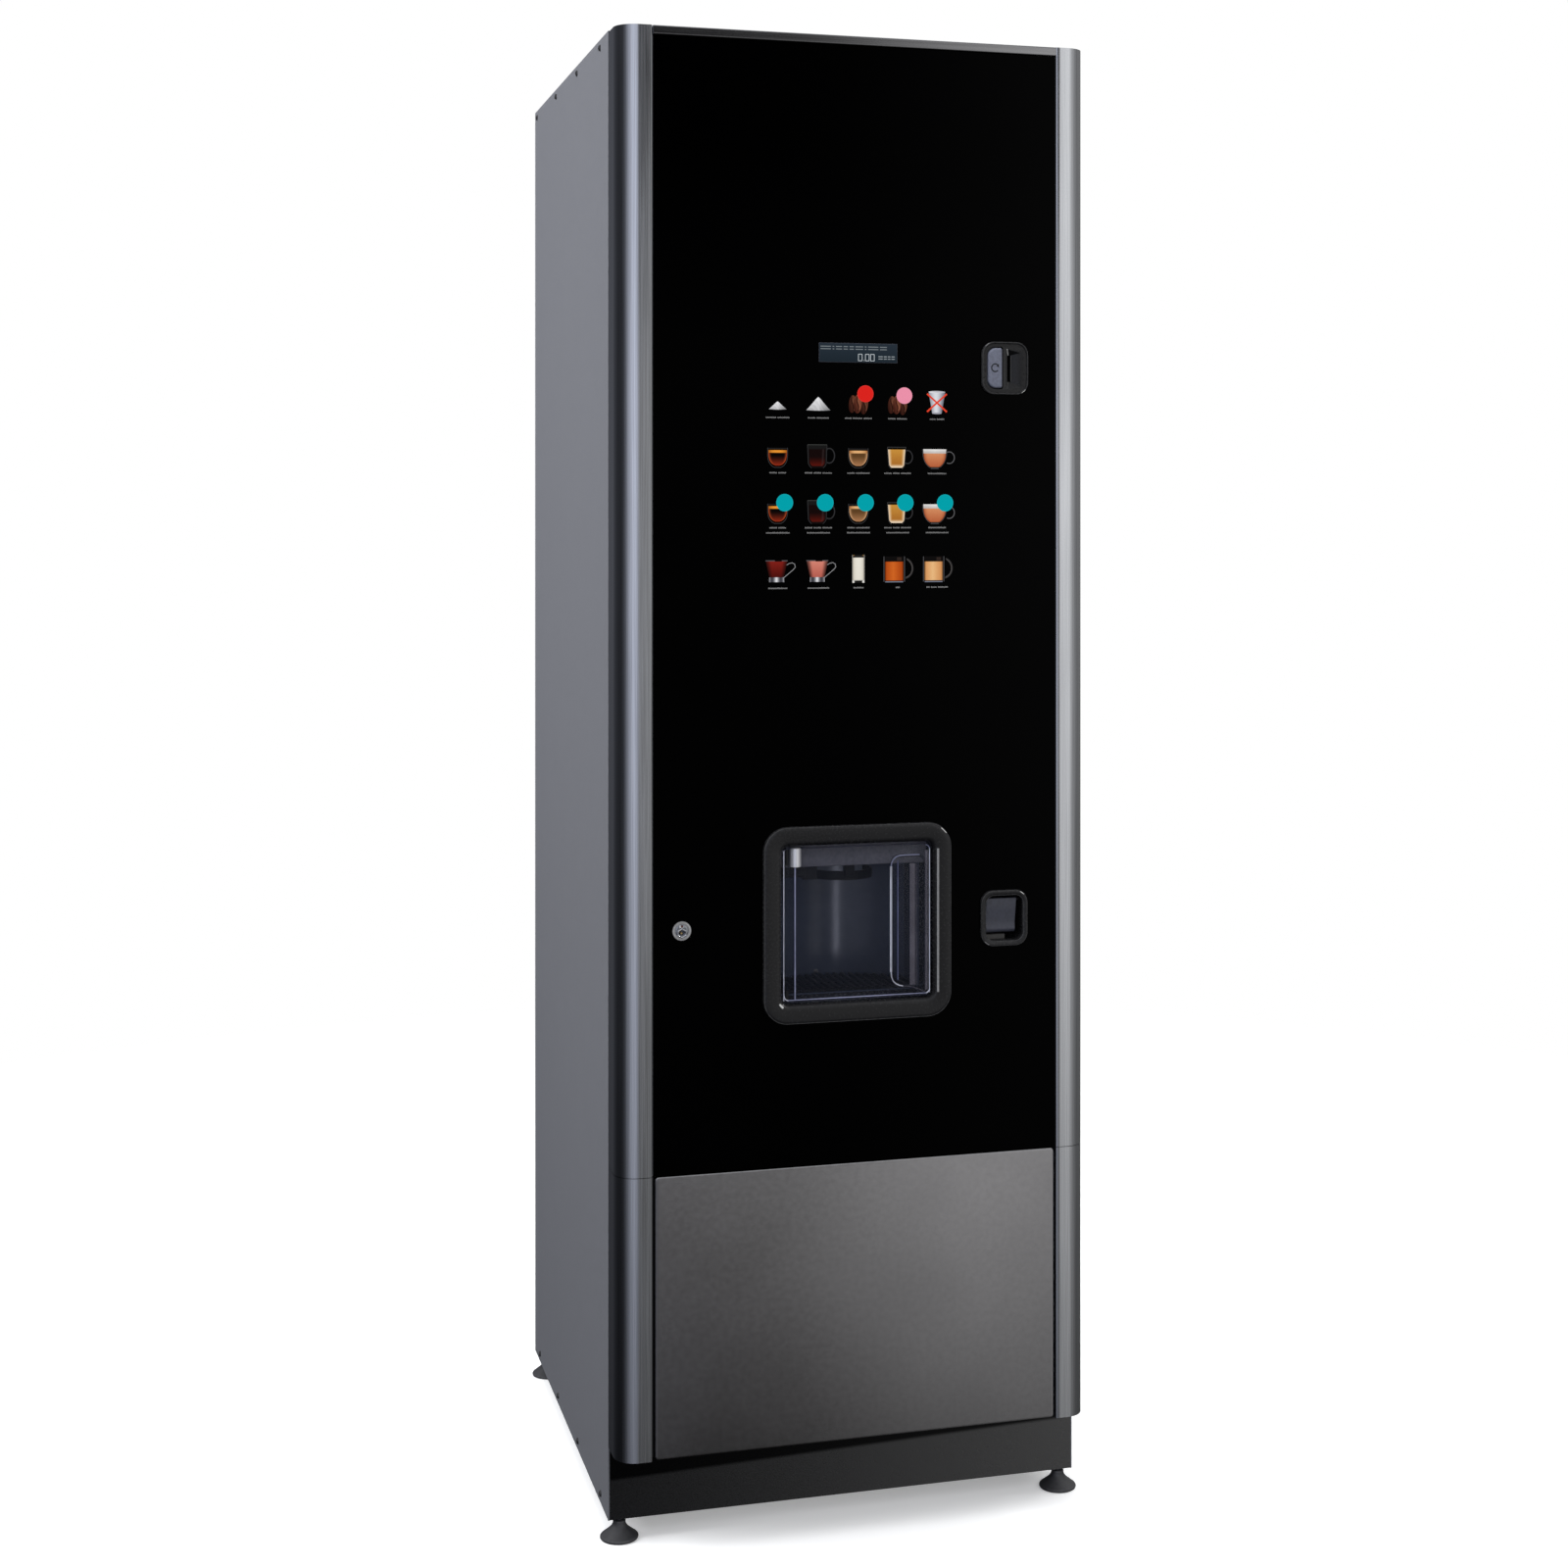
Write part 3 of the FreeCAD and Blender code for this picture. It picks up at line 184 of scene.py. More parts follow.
M_COAT = surface("powder_coat_grey", srgb(112, 113, 118), 0.52, 0.0, 0.10, (420, 420, 420), (1500, 1500, 1500), 0.35, 0.06, 0.3, spec=0.3, dist=0.0005, sheet=0.0012)
M_COAT_TOP = surface("powder_coat_top", srgb(105, 106, 111), 0.5, 0.0, 0.10, (420, 420, 420), (1500, 1500, 1500), 0.35, 0.06, 0.3, spec=0.3, dist=0.0005, sheet=0.0012)
M_KICK = surface("kick_coat", srgb(9, 9, 11), 0.28, 0.0, 0.12, (420, 420, 420), (1500, 1500, 1500), 0.20, 0.05, 0.25, spec=0.95, dist=0.0004, wear_rgb=srgb(60, 60, 64), sheet=0.0012)


def paint_under_door_shade():
    """Painted shade: the plinth darkens right under the overhanging door, more to the left; its IOR also rises from
    left to right as a painted sheen gradient.
    """
    nt = M_KICK.node_tree
    p = next(n_ for n_ in nt.nodes if n_.type == "BSDF_PRINCIPLED")
    co = nt.nodes.new("ShaderNodeTexCoord")
    sp = nt.nodes.new("ShaderNodeSeparateXYZ")
    nt.links.new(co.outputs["Object"], sp.inputs[0])
    sl = nt.nodes.new("ShaderNodeMath")
    sl.operation = "MULTIPLY_ADD"
    nt.links.new(sp.outputs[0], sl.inputs[0])
    sl.inputs[1].default_value = -0.030
    nt.links.new(sp.outputs[2], sl.inputs[2])
    mr = nt.nodes.new("ShaderNodeMapRange")
    mr.interpolation_type = "SMOOTHSTEP"
    nt.links.new(sl.outputs[0], mr.inputs["Value"])
    for k_, val in (("From Min", 0.0740), ("From Max", 0.0790), ("To Min", 1.0), ("To Max", 0.12)):
        mr.inputs[k_].default_value = val
    old = p.inputs["Base Color"].links[0].from_socket
    mx = nt.nodes.new("ShaderNodeMix")
    mx.data_type = "RGBA"
    nt.links.new(mr.outputs[0], mx.inputs[0])
    mx.inputs[6].default_value = (0.0008, 0.0008, 0.0009, 1)
    nt.links.new(old, mx.inputs[7])
    nt.links.new(mx.outputs[2], p.inputs["Base Color"])
    ml = nt.nodes.new("ShaderNodeMath")
    ml.operation = "MULTIPLY"
    nt.links.new(mr.outputs[0], ml.inputs[0])
    ml.inputs[1].default_value = 0.95
    # painted reflection: the plinth's IOR, and so its sheen, rises from left to right
    gr = nt.nodes.new("ShaderNodeMapRange")
    nt.links.new(sp.outputs[0], gr.inputs["Value"])
    for k_, val in (("From Min", -0.28), ("From Max", 0.28), ("To Min", 1.335), ("To Max", 1.80)):
        gr.inputs[k_].default_value = val
    nt.links.new(gr.outputs[0], p.inputs["IOR"])
    nt.links.new(ml.outputs[0], p.inputs["Specular IOR Level"])


paint_under_door_shade()
M_POST = surface("anodised_post", srgb(176, 178, 182), 0.17, 1.0, 0.05, (900, 900, 6), (2600, 2600, 12), 0.06, 0.03, 0.3, dist=0.0001)
M_RAIL = surface("anodised_rail", srgb(122, 122, 124), 0.12, 1.0, 0.05, (6, 900, 900), (12, 2600, 2600), 0.05, 0.03, 0.3, dist=0.0001)
M_LOWER = surface("brushed_dark_panel", srgb(150, 149, 151), 0.17, 1.0, 0.05, (140, 160, 160), (1500, 1500, 1500), 0.03, 0.012, 0.3, dist=0.00002, large=6.0)
M_BLACK = surface("satin_black_plastic", srgb(27, 27, 28), 0.26, 0.0, 0.12, (350, 350, 350), (2200, 2200, 2200), 0.22, 0.05, 0.25, wear_rgb=srgb(70, 70, 72), spec=0.28, dist=0.0002)
M_BLACK2 = surface("matt_black_plastic", srgb(17, 17, 19), 0.5, 0.0, 0.15, (300, 300, 300), (1800, 1800, 1800), 0.30, 0.06, 0.2, wear_rgb=srgb(52, 52, 54), spec=0.25, dist=0.0003)
M_SLATE = surface("slate_plastic", srgb(58, 60, 71), 0.36, 0.0, 0.10, (300, 300, 300), (1800, 1800, 1800), 0.16, 0.06, 0.3, spec=0.4, dist=0.0002)
M_STATION = surface("station_plastic", srgb(68, 74, 90), 0.20, 0.0, 0.06, (120, 120, 120), (1200, 1200, 1200), 0.03, 0.03, 0.2, spec=0.5, dist=0.0001)
M_HEADER = surface("header_plastic", srgb(104, 104, 117), 0.36, 0.0, 0.10, (300, 300, 300), (1800, 1800, 1800), 0.16, 0.06, 0.3, spec=0.4, dist=0.0002)
M_KEY = surface("key_plastic", srgb(116, 120, 136), 0.42, 0.0, 0.22, (420, 420, 420), (1700, 1700, 1700), 0.35, 0.06, 0.5, spec=0.4, dist=0.0004, wear_rgb=srgb(140, 143, 160))
M_FOOT = surface("foot_rubber", srgb(60, 60, 62), 0.42, 0.0, 0.2, (240, 240, 240), (1300, 1300, 1300), 0.35, 0.08, 0.3, spec=0.6, dist=0.0004)
# the next two: grey tints for beads along black rims, painted highlights
M_RIM_HIGHLIGHT = surface("black_rim_painted_highlight", srgb(76, 76, 76), 0.3, 0.0, 0.08, (350, 350, 350), (2200, 2200, 2200), 0.15, 0.05, 0.2, spec=0.3, dist=0.0002)
M_RIM_HIGHLIGHT_BRIGHT = surface("black_rim_painted_highlight_bright", srgb(146, 146, 146), 0.3, 0.0, 0.06, (350, 350, 350), (2200, 2200, 2200), 0.12, 0.05, 0.2, spec=0.4, dist=0.0002)
M_TRAY = surface("tray_plastic", srgb(56, 55, 53), 0.45, 0.0, 0.1, (350, 350, 350), (1800, 1800, 1800), 0.2, 0.05, 0.2, spec=0.3, dist=0.0002)
M_BARREL = surface("barrel_satin", srgb(236, 236, 240), 0.28, 0.6, 0.04, (500, 500, 8), (1500, 1500, 20), 0.05, 0.04, 0.1)
# a near-white tint for small beads at rim corners and facet edges, painted glints
M_GLINT_PAINT = surface("pale_painted_glint", srgb(235, 235, 230), 0.25, 0.0, 0.05, (350, 350, 350), (2200, 2200, 2200), 0.1, 0.05, 0.2, spec=0.5, dist=0.0002)
M_LOCKF = surface("lock_steel_dark", srgb(125, 129, 136), 0.24, 1.0, 0.14, (500, 500, 500), (1600, 1600, 1600), 0.2, 0.06, 0.3, wear_rgb=srgb(190, 190, 190))
M_BRASS = surface("lock_pin_brass", srgb(206, 178, 130), 0.25, 1.0, 0.1, (600, 600, 600), (1600, 1600, 1600), 0.1, 0.05, 0.2)
M_RUST = surface("lock_mark_red", srgb(96, 52, 48), 0.4, 0.0, 0.1, (600, 600, 600), (1600, 1600, 1600), 0.1, 0.05, 0.2)
M_THREAD = surface("dark_steel_thread", srgb(80, 80, 84), 0.35, 1.0, 0.1, (500, 500, 500), (1500, 1500, 1500), 0.2, 0.08, 0.3)
M_ZINC = surface("zinc_sheet", srgb(168, 171, 174), 0.44, 0.35, 0.05, (45, 45, 45), (700, 700, 700), 0.10, 0.05, 0.3, large=3.0, sheet=0.0012)
M_STEEL = surface("brushed_stainless", srgb(190, 190, 188), 0.28, 1.0, 0.08, (300, 300, 6), (1500, 1500, 12), 0.12, 0.06, 0.3)
M_WHITE = surface("food_grade_white", srgb(214, 214, 208), 0.38, 0.0, 0.05, (200, 200, 200), (1300, 1300, 1300), 0.12, 0.06, 0.15, wear_rgb=srgb(235, 235, 230), coat=0.2)
M_HOSE = surface("silicone_hose", srgb(196, 198, 194), 0.45, 0.0, 0.06, (200, 200, 200), (1300, 1300, 1300), 0.12, 0.06, 0.1)
M_SCREW = surface("black_oxide_screw", srgb(28, 28, 30), 0.38, 0.6, 0.15, (700, 700, 700), (2000, 2000, 2000), 0.3, 0.08, 0.6, wear_rgb=srgb(120, 120, 120))
M_CHROME = surface("chrome_trim", srgb(225, 226, 230), 0.10, 1.0, 0.03, (400, 400, 400), (1500, 1500, 1500), 0.05, 0.03, 0.1)
M_BOARD = surface("board_green", srgb(20, 66, 44), 0.4, 0.0, 0.15, (300, 300, 300), (1200, 1200, 1200), 0.2, 0.06, 0.2, coat=0.3)


def glassy(name, rgb, rough=0.02, alpha_like=1.0, ior=1.45, var=0.03):
    t = Tree(name)
    n = t.noise(t.scaled(60, 60, 60), 1.0, 3.0)
    t.link(t.mixc(t.remap(n, 0.0, 1.0), tuple(c * (1 - var) for c in rgb), rgb), t.p.inputs["Base Color"])
    t.link(t.remap(n, rough, rough + 0.03), t.p.inputs["Roughness"])
    t.p.inputs["Transmission Weight"].default_value = alpha_like
    t.p.inputs["IOR"].default_value = ior
    t.bump(t.noise(t.scaled(22, 22, 22), 1.0, 1.0), 0.05, 0.0006)
    return t.m


def film(name, rgb, alpha, rough=0.04, spec=0.5):
    """Clear moulding: a thin tinted skin with faint smears, seen straight through."""
    t = Tree(name)
    n = t.noise(t.scaled(14, 14, 40), 1.0, 4.0)
    f = t.noise(t.scaled(900, 900, 900), 1.0, 2.0)
    t.link(t.mixc(t.remap(n, 0.0, 1.0), tuple(c * 0.8 for c in rgb), rgb), t.p.inputs["Base Color"])
    t.link(t.remap(n, rough, rough + 0.08), t.p.inputs["Roughness"])
    t.link(t.remap(n, alpha * 0.8, alpha * 1.25), t.p.inputs["Alpha"])
    t.p.inputs["Specular IOR Level"].default_value = spec
    t.bump(f, 0.03, 0.0001)
    return t.m


M_CLEAR = film("clear_polycarbonate", (0.035, 0.04, 0.06), 0.16, spec=0.35)
# pale tints for the lines on the clear hatch: painted highlights and reflections along its edges
M_EDGE = film("clear_edge_highlight_bright", (0.78, 0.80, 0.92), 0.95, 0.15)
M_EDGE_DIM = film("clear_edge_highlight_dim", (0.17, 0.19, 0.36), 0.85, 0.15)
M_EDGE_MID = film("clear_edge_highlight_mid", (0.36, 0.38, 0.56), 0.9, 0.15)
M_EDGE_LOW = film("clear_edge_highlight_low", (0.05, 0.055, 0.09), 0.8, 0.15)
M_EDGE_SOFT = film("clear_edge_highlight_soft", (0.16, 0.15, 0.19), 0.55, 0.2)
M_SMOKE = glassy("smoked_plastic", (0.30, 0.31, 0.34), 0.12, 0.75, 1.4)


def black_glass():
    t = Tree("black_glass")
    n = t.noise(t.scaled(3, 3, 3), 1.0, 3.0)
    f = t.noise(t.scaled(1200, 1200, 1200), 1.0, 2.0)
    t.link(t.mixc(t.remap(n, 0.0, 1.0), (0.0001, 0.0001, 0.0001), (0.0003, 0.0003, 0.0004)), t.p.inputs["Base Color"])
    t.link(t.remap(n, 0.015, 0.05), t.p.inputs["Roughness"])
    t.p.inputs["Specular IOR Level"].default_value = 0.02
    t.bump(f, 0.02, 0.0001)
    return t.m


M_GLASS = black_glass()


def print_mat():
    """Ink printed behind the glass: colours from the mesh, with a slight dot grain, softly lit from behind."""
    t = Tree("menu_print")
    a = t.add("ShaderNodeVertexColor")
    a.layer_name = "ink"
    g = t.noise(t.scaled(2600, 2600, 2600), 1.0, 1.0)
    col = t.mixc(t.remap(g, 0.0, 0.16), a.outputs["Color"], (0.0, 0.0, 0.0))
    t.link(t.mixc(0.94, col, (0.0, 0.0, 0.0)), t.p.inputs["Base Color"])
    t.link(col, t.p.inputs["Emission Color"])
    t.p.inputs["Emission Strength"].default_value = 0.95
    t.link(t.remap(g, 0.25, 0.35), t.p.inputs["Roughness"])
    t.p.inputs["Specular IOR Level"].default_value = 0.02
    return t.m


M_PRINT = print_mat()

# ------------------------------------------------------------------ mesh helpers


def finish_mesh(name, bm, mat, body, slot=None, replaces=(), sharp=0.6, bevel=0.0, segs=2, subsurf=0):
    bmesh.ops.remove_doubles(bm, verts=bm.verts, dist=1e-7)
    bmesh.ops.recalc_face_normals(bm, faces=bm.faces)
    for f in bm.faces:
        f.smooth = True
    for e in bm.edges:
        e.smooth = len(e.link_faces) == 2 and e.calc_face_angle(3.0) < sharp
    me = bpy.data.meshes.new(name)
    bm.to_mesh(me)
    bm.free()
    o = bpy.data.objects.new(name, me)
    bpy.context.scene.collection.objects.link(o)
    me.materials.append(mat)
    if bevel:
        m = o.modifiers.new("soft_edges", "BEVEL")
        m.width = bevel * MM
        m.segments = segs
        m.limit_method = "ANGLE"
        m.angle_limit = sharp
        m.harden_normals = True
    if subsurf:
        m = o.modifiers.new("smooth", "SUBSURF")
        m.levels = m.render_levels = subsurf
    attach(o, body)
    if replaces:
        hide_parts(*replaces)
    return o


def rr(cx, cz, w, d, r, n=10):
    """Rounded rectangle in X, Z (mm), anticlockwise from the lower right corner."""
    r = max(0.05, min(r, w / 2 - 0.01, d / 2 - 0.01))
    pts = []
    for qx, qz, a0 in ((1, -1, -90), (1, 1, 0), (-1, 1, 90), (-1, -1, 180)):
        ox, oz = cx + qx * (w / 2 - r), cz + qz * (d / 2 - r)
        for i in range(n + 1):
            a = math.radians(a0 + 90 * i / n)
            pts.append((ox + r * math.cos(a), oz + r * math.sin(a)))
    return pts


def loft(bm, loops, closed_ring=False, cap0=False, cap1=False):
    """loops: lists of (x, y, z) in mm, all the same length."""
    rows = [[bm.verts.new(Vector(p) * MM) for p in lp] for lp in loops]
    n = len(rows[0])
    pairs = list(zip(rows, rows[1:])) + ([(rows[-1], rows[0])] if closed_ring else [])
    for a, b in pairs:
        for i in range(n):
            j = (i + 1) % n
            try:
                bm.faces.new((a[i], a[j], b[j], b[i]))
            except ValueError:
                pass
    if cap0:
        bm.faces.new(rows[0])
    if cap1:
        bm.faces.new(list(reversed(rows[-1])))
    return rows


def xz(pts, y):
    return [(x, y, z) for x, z in pts]


def lathe_loops(profile, cx, cy, n=64, axis="z", base=0.0):
    """profile: (radius, height) pairs; returns loops round the axis."""
    out = []
    for r, h in profile:
        r = max(r, 0.001)
        lp = []
        for i in range(n):
            a = 2 * math.pi * i / n
            u, v = r * math.cos(a), r * math.sin(a)
            if axis == "z":
                lp.append((cx + u, cy + v, base + h))
            elif axis == "y":
                lp.append((cx + u, base + h, cy + v))
            else:
                lp.append((base + h, cx + u, cy + v))
        out.append(lp)
    return out


def lathe(name, profile, cx, cy, mat, body, n=64, axis="z", base=0.0, **kw):
    bm = bmesh.new()
    loft(bm, lathe_loops(profile, cx, cy, n, axis, base), cap0=True, cap1=True)
    return finish_mesh(name, bm, mat, body, **kw)


def prism_z(name, pts, z0, z1, mat, body, **kw):
    """Outline in X, Y (mm) raised along Z."""
    bm = bmesh.new()
    loft(bm, [[(x, y, z0) for x, y in pts], [(x, y, z1) for x, y in pts]], cap0=True, cap1=True)
    return finish_mesh(name, bm, mat, body, **kw)


def slab(name, x, y, z, mat, body, bevel=0.5, **kw):
    """A plate with softened edges."""
    bm = bmesh.new()
    pts = [(x[0], y[0]), (x[1], y[0]), (x[1], y[1]), (x[0], y[1])]
    loft(bm, [[(a, b, z[0]) for a, b in pts], [(a, b, z[1]) for a, b in pts]], cap0=True, cap1=True)
    return finish_mesh(name, bm, mat, body, bevel=bevel, **kw)


def plate_with_holes(name, outer, holes, y0, y1, mat, body, **kw):
    """Flat plate in X, Z with openings, y0 front and y1 back."""
    bm = bmesh.new()
    polys = [outer] + holes
    tris = tessellate_polygon([[Vector((x, z, 0)) for x, z in p] for p in polys])
    flat = [q for p in polys for q in p]
    front = [bm.verts.new(Vector((x, y0, z)) * MM) for x, z in flat]
    back = [bm.verts.new(Vector((x, y1, z)) * MM) for x, z in flat]
    for a, b, c in tris:
        bm.faces.new((front[a], front[b], front[c]))
        bm.faces.new((back[c], back[b], back[a]))
    k = 0
    for p in polys:
        n = len(p)
        for i in range(n):
            j = (i + 1) % n
            bm.faces.new((front[k + i], front[k + j], back[k + j], back[k + i]))
        k += n
    return finish_mesh(name, bm, mat, body, **kw)


def tube(name, points, radius, mat, body, n=14, **kw):
    """Round bar along a smooth path of mm points."""
    pts = [Vector(p) for p in points]
    fine = []
    for i in range(len(pts) - 1):
        p0, p1, p2, p3 = pts[max(i - 1, 0)], pts[i], pts[i + 1], pts[min(i + 2, len(pts) - 1)]
        for k in range(8):
            t = k / 8
            fine.append(0.5 * ((2 * p1) + (p2 - p0) * t + (2 * p0 - 5 * p1 + 4 * p2 - p3) * t * t + (3 * p1 - p0 - 3 * p2 + p3) * t ** 3))
    fine.append(pts[-1])
    loops = []
    up = Vector((0, 0, 1))
    for i, p in enumerate(fine):
        d = (fine[min(i + 1, len(fine) - 1)] - fine[max(i - 1, 0)]).normalized()
        side = d.cross(up)
        if side.length < 1e-3:
            side = d.cross(Vector((0, 1, 0)))
        side.normalize()
        upv = side.cross(d).normalized()
        loops.append([tuple(p + radius * (math.cos(2 * math.pi * k / n) * side + math.sin(2 * math.pi * k / n) * upv)) for k in range(n)])
    bm = bmesh.new()
    loft(bm, loops, cap0=True, cap1=True)
    return finish_mesh(name, bm, mat, body, **kw)


def paint(node, mat, bevel=0.0):
    o = NODES[node]
    o.data.materials.clear()
    o.data.materials.append(mat)
    for p in o.data.polygons:
        p.material_index = 0
    if bevel:
        m = o.modifiers.new("soft_edges", "BEVEL")
        m.width = bevel * MM
        m.segments = 2
        m.limit_method = "ANGLE"
        m.angle_limit = 0.6
    return o


# ------------------------------------------------------------------ carried-over CAD nodes
CARRY = {
    "side_panel_left": M_COAT, "side_panel_right": M_COAT, "top_panel": M_COAT_TOP, "back_panel": M_COAT_TOP, "base_pan": M_ZINC,
    "kick_plate": M_KICK, "hinge_brackets": M_ZINC, "panel_screws": M_SCREW, "door_liner": M_ZINC, "display_module": M_BOARD,
    "coin_changer": M_BLACK2, "cash_box": M_ZINC, "machine_deck": M_ZINC, "cup_station": M_STATION, "nozzle_block": M_SLATE,
    "cup_chute": M_SMOKE, "turret_base": M_ZINC, "cup_turret": M_SMOKE, "canister_shelf": M_ZINC,
    "canister_sugar": M_WHITE, "canister_milk": M_WHITE, "canister_chocolate": M_WHITE, "canister_tea": M_WHITE,
    "auger_sugar": M_WHITE, "auger_milk": M_WHITE, "auger_chocolate": M_WHITE, "auger_tea": M_WHITE,
    "mixer_left": M_WHITE, "mixer_right": M_WHITE, "bean_hopper": M_SMOKE, "bean_hopper_lid": M_BLACK2, "grinder": M_BLACK2,
    "brewer_frame": M_WHITE, "brewer_piston": M_STEEL, "boiler": M_STEEL, "water_pump": M_BLACK2, "control_box": M_ZINC,
    "service_inlets": M_BLACK2, "waste_bin": M_BLACK2, "water_hoses": M_HOSE, "lock_cylinder": M_LOCKF, "lock_housing": M_CHROME,
    "drip_grille": M_BLACK2,
}
for nm, mt in CARRY.items():
    paint(nm, mt)

# ------------------------------------------------------------------ door posts
def post_outline(side, ledge, rear_round):
    pts = [(236.3, -306.9), (236.7, -307.7), (237.3, -308.0), (240.0, -308.0)] if side < 0 else [(234.3, -306.75), (235.1, -307.7), (236.0, -308.0), (240.0, -308.0)]
    cx, cy, r = (250.0, -283.0, 25.0) if side < 0 else (249.5, -286.0, 22.0)
    n = 20
    for i in range(n + 1):
        a = math.radians(-90 + 90 * i / n)
        pts.append((cx + r * math.cos(a), cy + r * math.sin(a)))
    if rear_round:
        for i in range(9):
            a = math.radians(90 * i / 8)
            pts.append((cx + r - 8 + 8 * math.cos(a), -262.4 + 8 * math.sin(a)))
    else:
        pts += [(275.0, -255.0), (274.4, -254.4)]
    wall = 235.9 if side < 0 else 235.1
    pts += [(240.0, -254.4), (240.0, -296.0), (228.0, -296.0), (228.0, -300.2), (wall, -300.2), (wall, -306.65)] if ledge else [(240.0, -254.4), (240.0, -300.2), (wall, -300.2), (wall, -306.65)]
    return [(x * side, y) for x, y in pts]


for tag, side, rear in (("left", -1, False), ("right", 1, True)):
    prism_z("post_upper_" + tag, post_outline(side, True, rear), 417.8, 1679.2, M_POST, "door", slot="anodised_post",
            replaces=["door_pillar_" + tag], sharp=0.35)
    prism_z("post_lower_" + tag, post_outline(side, False, rear), 106.5, 417.2, M_POST, "door", slot="anodised_post",
            replaces=["lower_corner_" + tag], sharp=0.35)

# top rail: soft front edge and a thin lower lip
bm = bmesh.new()
prof = [(-304.0, 1669.0), (-306.6, 1669.0), (-307.7, 1669.6), (-307.95, 1670.2), (-308.0, 1670.6), (-308.0, 1671.3), (-308.0, 1677.5), (-308.0, 1678.0), (-307.6, 1678.8), (-306.8, 1679.2),
        (-254.4, 1679.2), (-254.4, 1655.0), (-256.4, 1655.0), (-256.4, 1677.2), (-304.0, 1677.2)]
loft(bm, [[(x, y, z) for y, z in prof] for x in (-234.7, 234.7)], cap0=True, cap1=True)
finish_mesh("rail_across_top", bm, M_RAIL, "door", slot="anodised_post", replaces=["door_top_rail"], sharp=0.35)

# ------------------------------------------------------------------ glass front
HB, CE, CR, LK = (-1.8, 686.0), (171.9, 1309.9), (171.0, 683.7), (-203.2, 686.1)
circ = lambda cx, cz, r, n=48: [(cx + r * math.cos(2 * math.pi * i / n), cz + r * math.sin(2 * math.pi * i / n)) for i in range(n)]
plate_with_holes("glass_front", rr(0, (418.2 + 1668.5) / 2, 469.4, 1250.3, 1.2, 4),
                 [rr(*HB, 184, 184, 10), rr(*CE, 47, 51, 10), rr(*CR, 47, 54, 10), circ(*LK, 9.3)],
                 -306.5, -300.5, M_GLASS, "door", slot="black_glass", replaces=["door_glass"], bevel=0.5)

# lower panel: rounded corners, folded edges, hollow behind
bm = bmesh.new()
c = (0.0, 261.9)
loops = [xz(rr(*c, 461, 305.8, 2.5), -292.5), xz(rr(*c, 465, 309.8, 4), -292.5), xz(rr(*c, 465, 309.8, 4), -304.6), xz(rr(*c, 464.4, 309.2, 3.8), -305.8),
         xz(rr(*c, 462.8, 307.6, 3.2), -306.4), xz(rr(*c, 460.5, 305.3, 2.6), -306.5)]
loft(bm, loops, cap1=True)
loft(bm, [xz(rr(*c, 461, 305.8, 2.5), -292.5), xz(rr(*c, 461, 305.8, 2.5), -304.5)], cap1=True)
finish_mesh("lower_front_panel", bm, M_LOWER, "door", slot="brushed_panel", replaces=["lower_panel"], sharp=0.35)
# dark strips filling the gap round the lower panel and under the glass: painted shade that keeps the gap black
slab("lower_gap_left", (-234.9, -232.9), (-300.0, -293.5), (108, 416.5), M_BLACK2, "door", bevel=0.3, slot="black_plastic")
slab("lower_gap_right", (232.9, 234.9), (-300.0, -293.5), (108, 416.5), M_BLACK2, "door", bevel=0.3, slot="black_plastic")

# ------------------------------------------------------------------ delivery hatch surround
def ring_loops(c, spec, n=12):
    return [xz(rr(*c, w, d, r, n), y) for w, d, r, y in spec]


bm = bmesh.new()
spec = [(219, 219.5, 28, -306.5), (219, 219.5, 28, -308.3), (218.4, 218.9, 27.8, -309.7), (217.0, 217.5, 27.2, -310.8), (214.6, 215.1, 26.2, -311.4), (211, 211.5, 25, -311.5),
        (197, 197, 18, -311.2), (189, 189, 14.5, -311.0), (184.6, 184.6, 12.2, -310.9), (182.2, 182.2, 11, -310.5), (180.0, 180.0, 10, -309.7), (178.2, 178.2, 9.2, -308.4),
        (177.0, 177.0, 8.6, -306.8), (176.2, 176.2, 8.1, -305.0), (176, 176, 8, -300.0), (176, 176, 8, -256.8), (183, 183, 9.5, -256.8), (183, 183, 9.5, -306.5)]
loft(bm, ring_loops(HB, spec), closed_ring=True)
finish_mesh("hatch_surround", bm, M_BLACK, "door", slot="black_plastic", replaces=["hatch_bezel"], sharp=0.9)

# header band, cup guide and details inside the opening
slab("station_header_band", (-88.5, 84.9), (-288.0, -284.5), (750.0, 773.0), M_HEADER, "door", bevel=0.8, slot="slate_plastic")
slab("station_header_lip", (-88.5, 84.9), (-288.0, -270.0), (747.6, 750.4), M_HEADER, "door", bevel=0.8, slot="slate_plastic")
bm = bmesh.new()
n = 40
arc = [math.radians(-205 + 230 * i / n) for i in range(n + 1)]
sec = [(33.0, 0), (36.5, 0), (36.5, 9), (35.6, 10), (33.8, 10), (33.0, 9)]
rows = [[(7 + r * math.cos(a) * 1.0, -205 + r * math.sin(a), 723.5 + h) for r, h in sec] for a in arc]
loft(bm, rows, cap0=True, cap1=True)
finish_mesh("cup_guide_ring", bm, M_BLACK2, "cabinet", slot="black_plastic", sharp=0.7)
slab("cup_guide_tab", (-50, -33), (-250, -236), (727.0, 742), M_BLACK2, "cabinet", bevel=1.2, slot="black_plastic")
slab("cup_guide_block", (-86, -50), (-262, -236), (731.8, 748), M_BLACK2, "cabinet", bevel=1.5, slot="black_plastic")
slab("cup_guide_stem", (0, 12), (-246, -239), (728, 777), M_BLACK2, "cabinet", bevel=1.2, slot="black_plastic")
lathe("station_screw", [(0.001, 0), (3.2, 0.1), (3.2, 1.2), (2.6, 2.0), (1.2, 2.2), (1.0, 1.2), (0.001, 1.0)], -16.7, 608.5, M_CHROME, "cabinet", n=32, axis="y", base=-182.0, slot="chrome_trim")

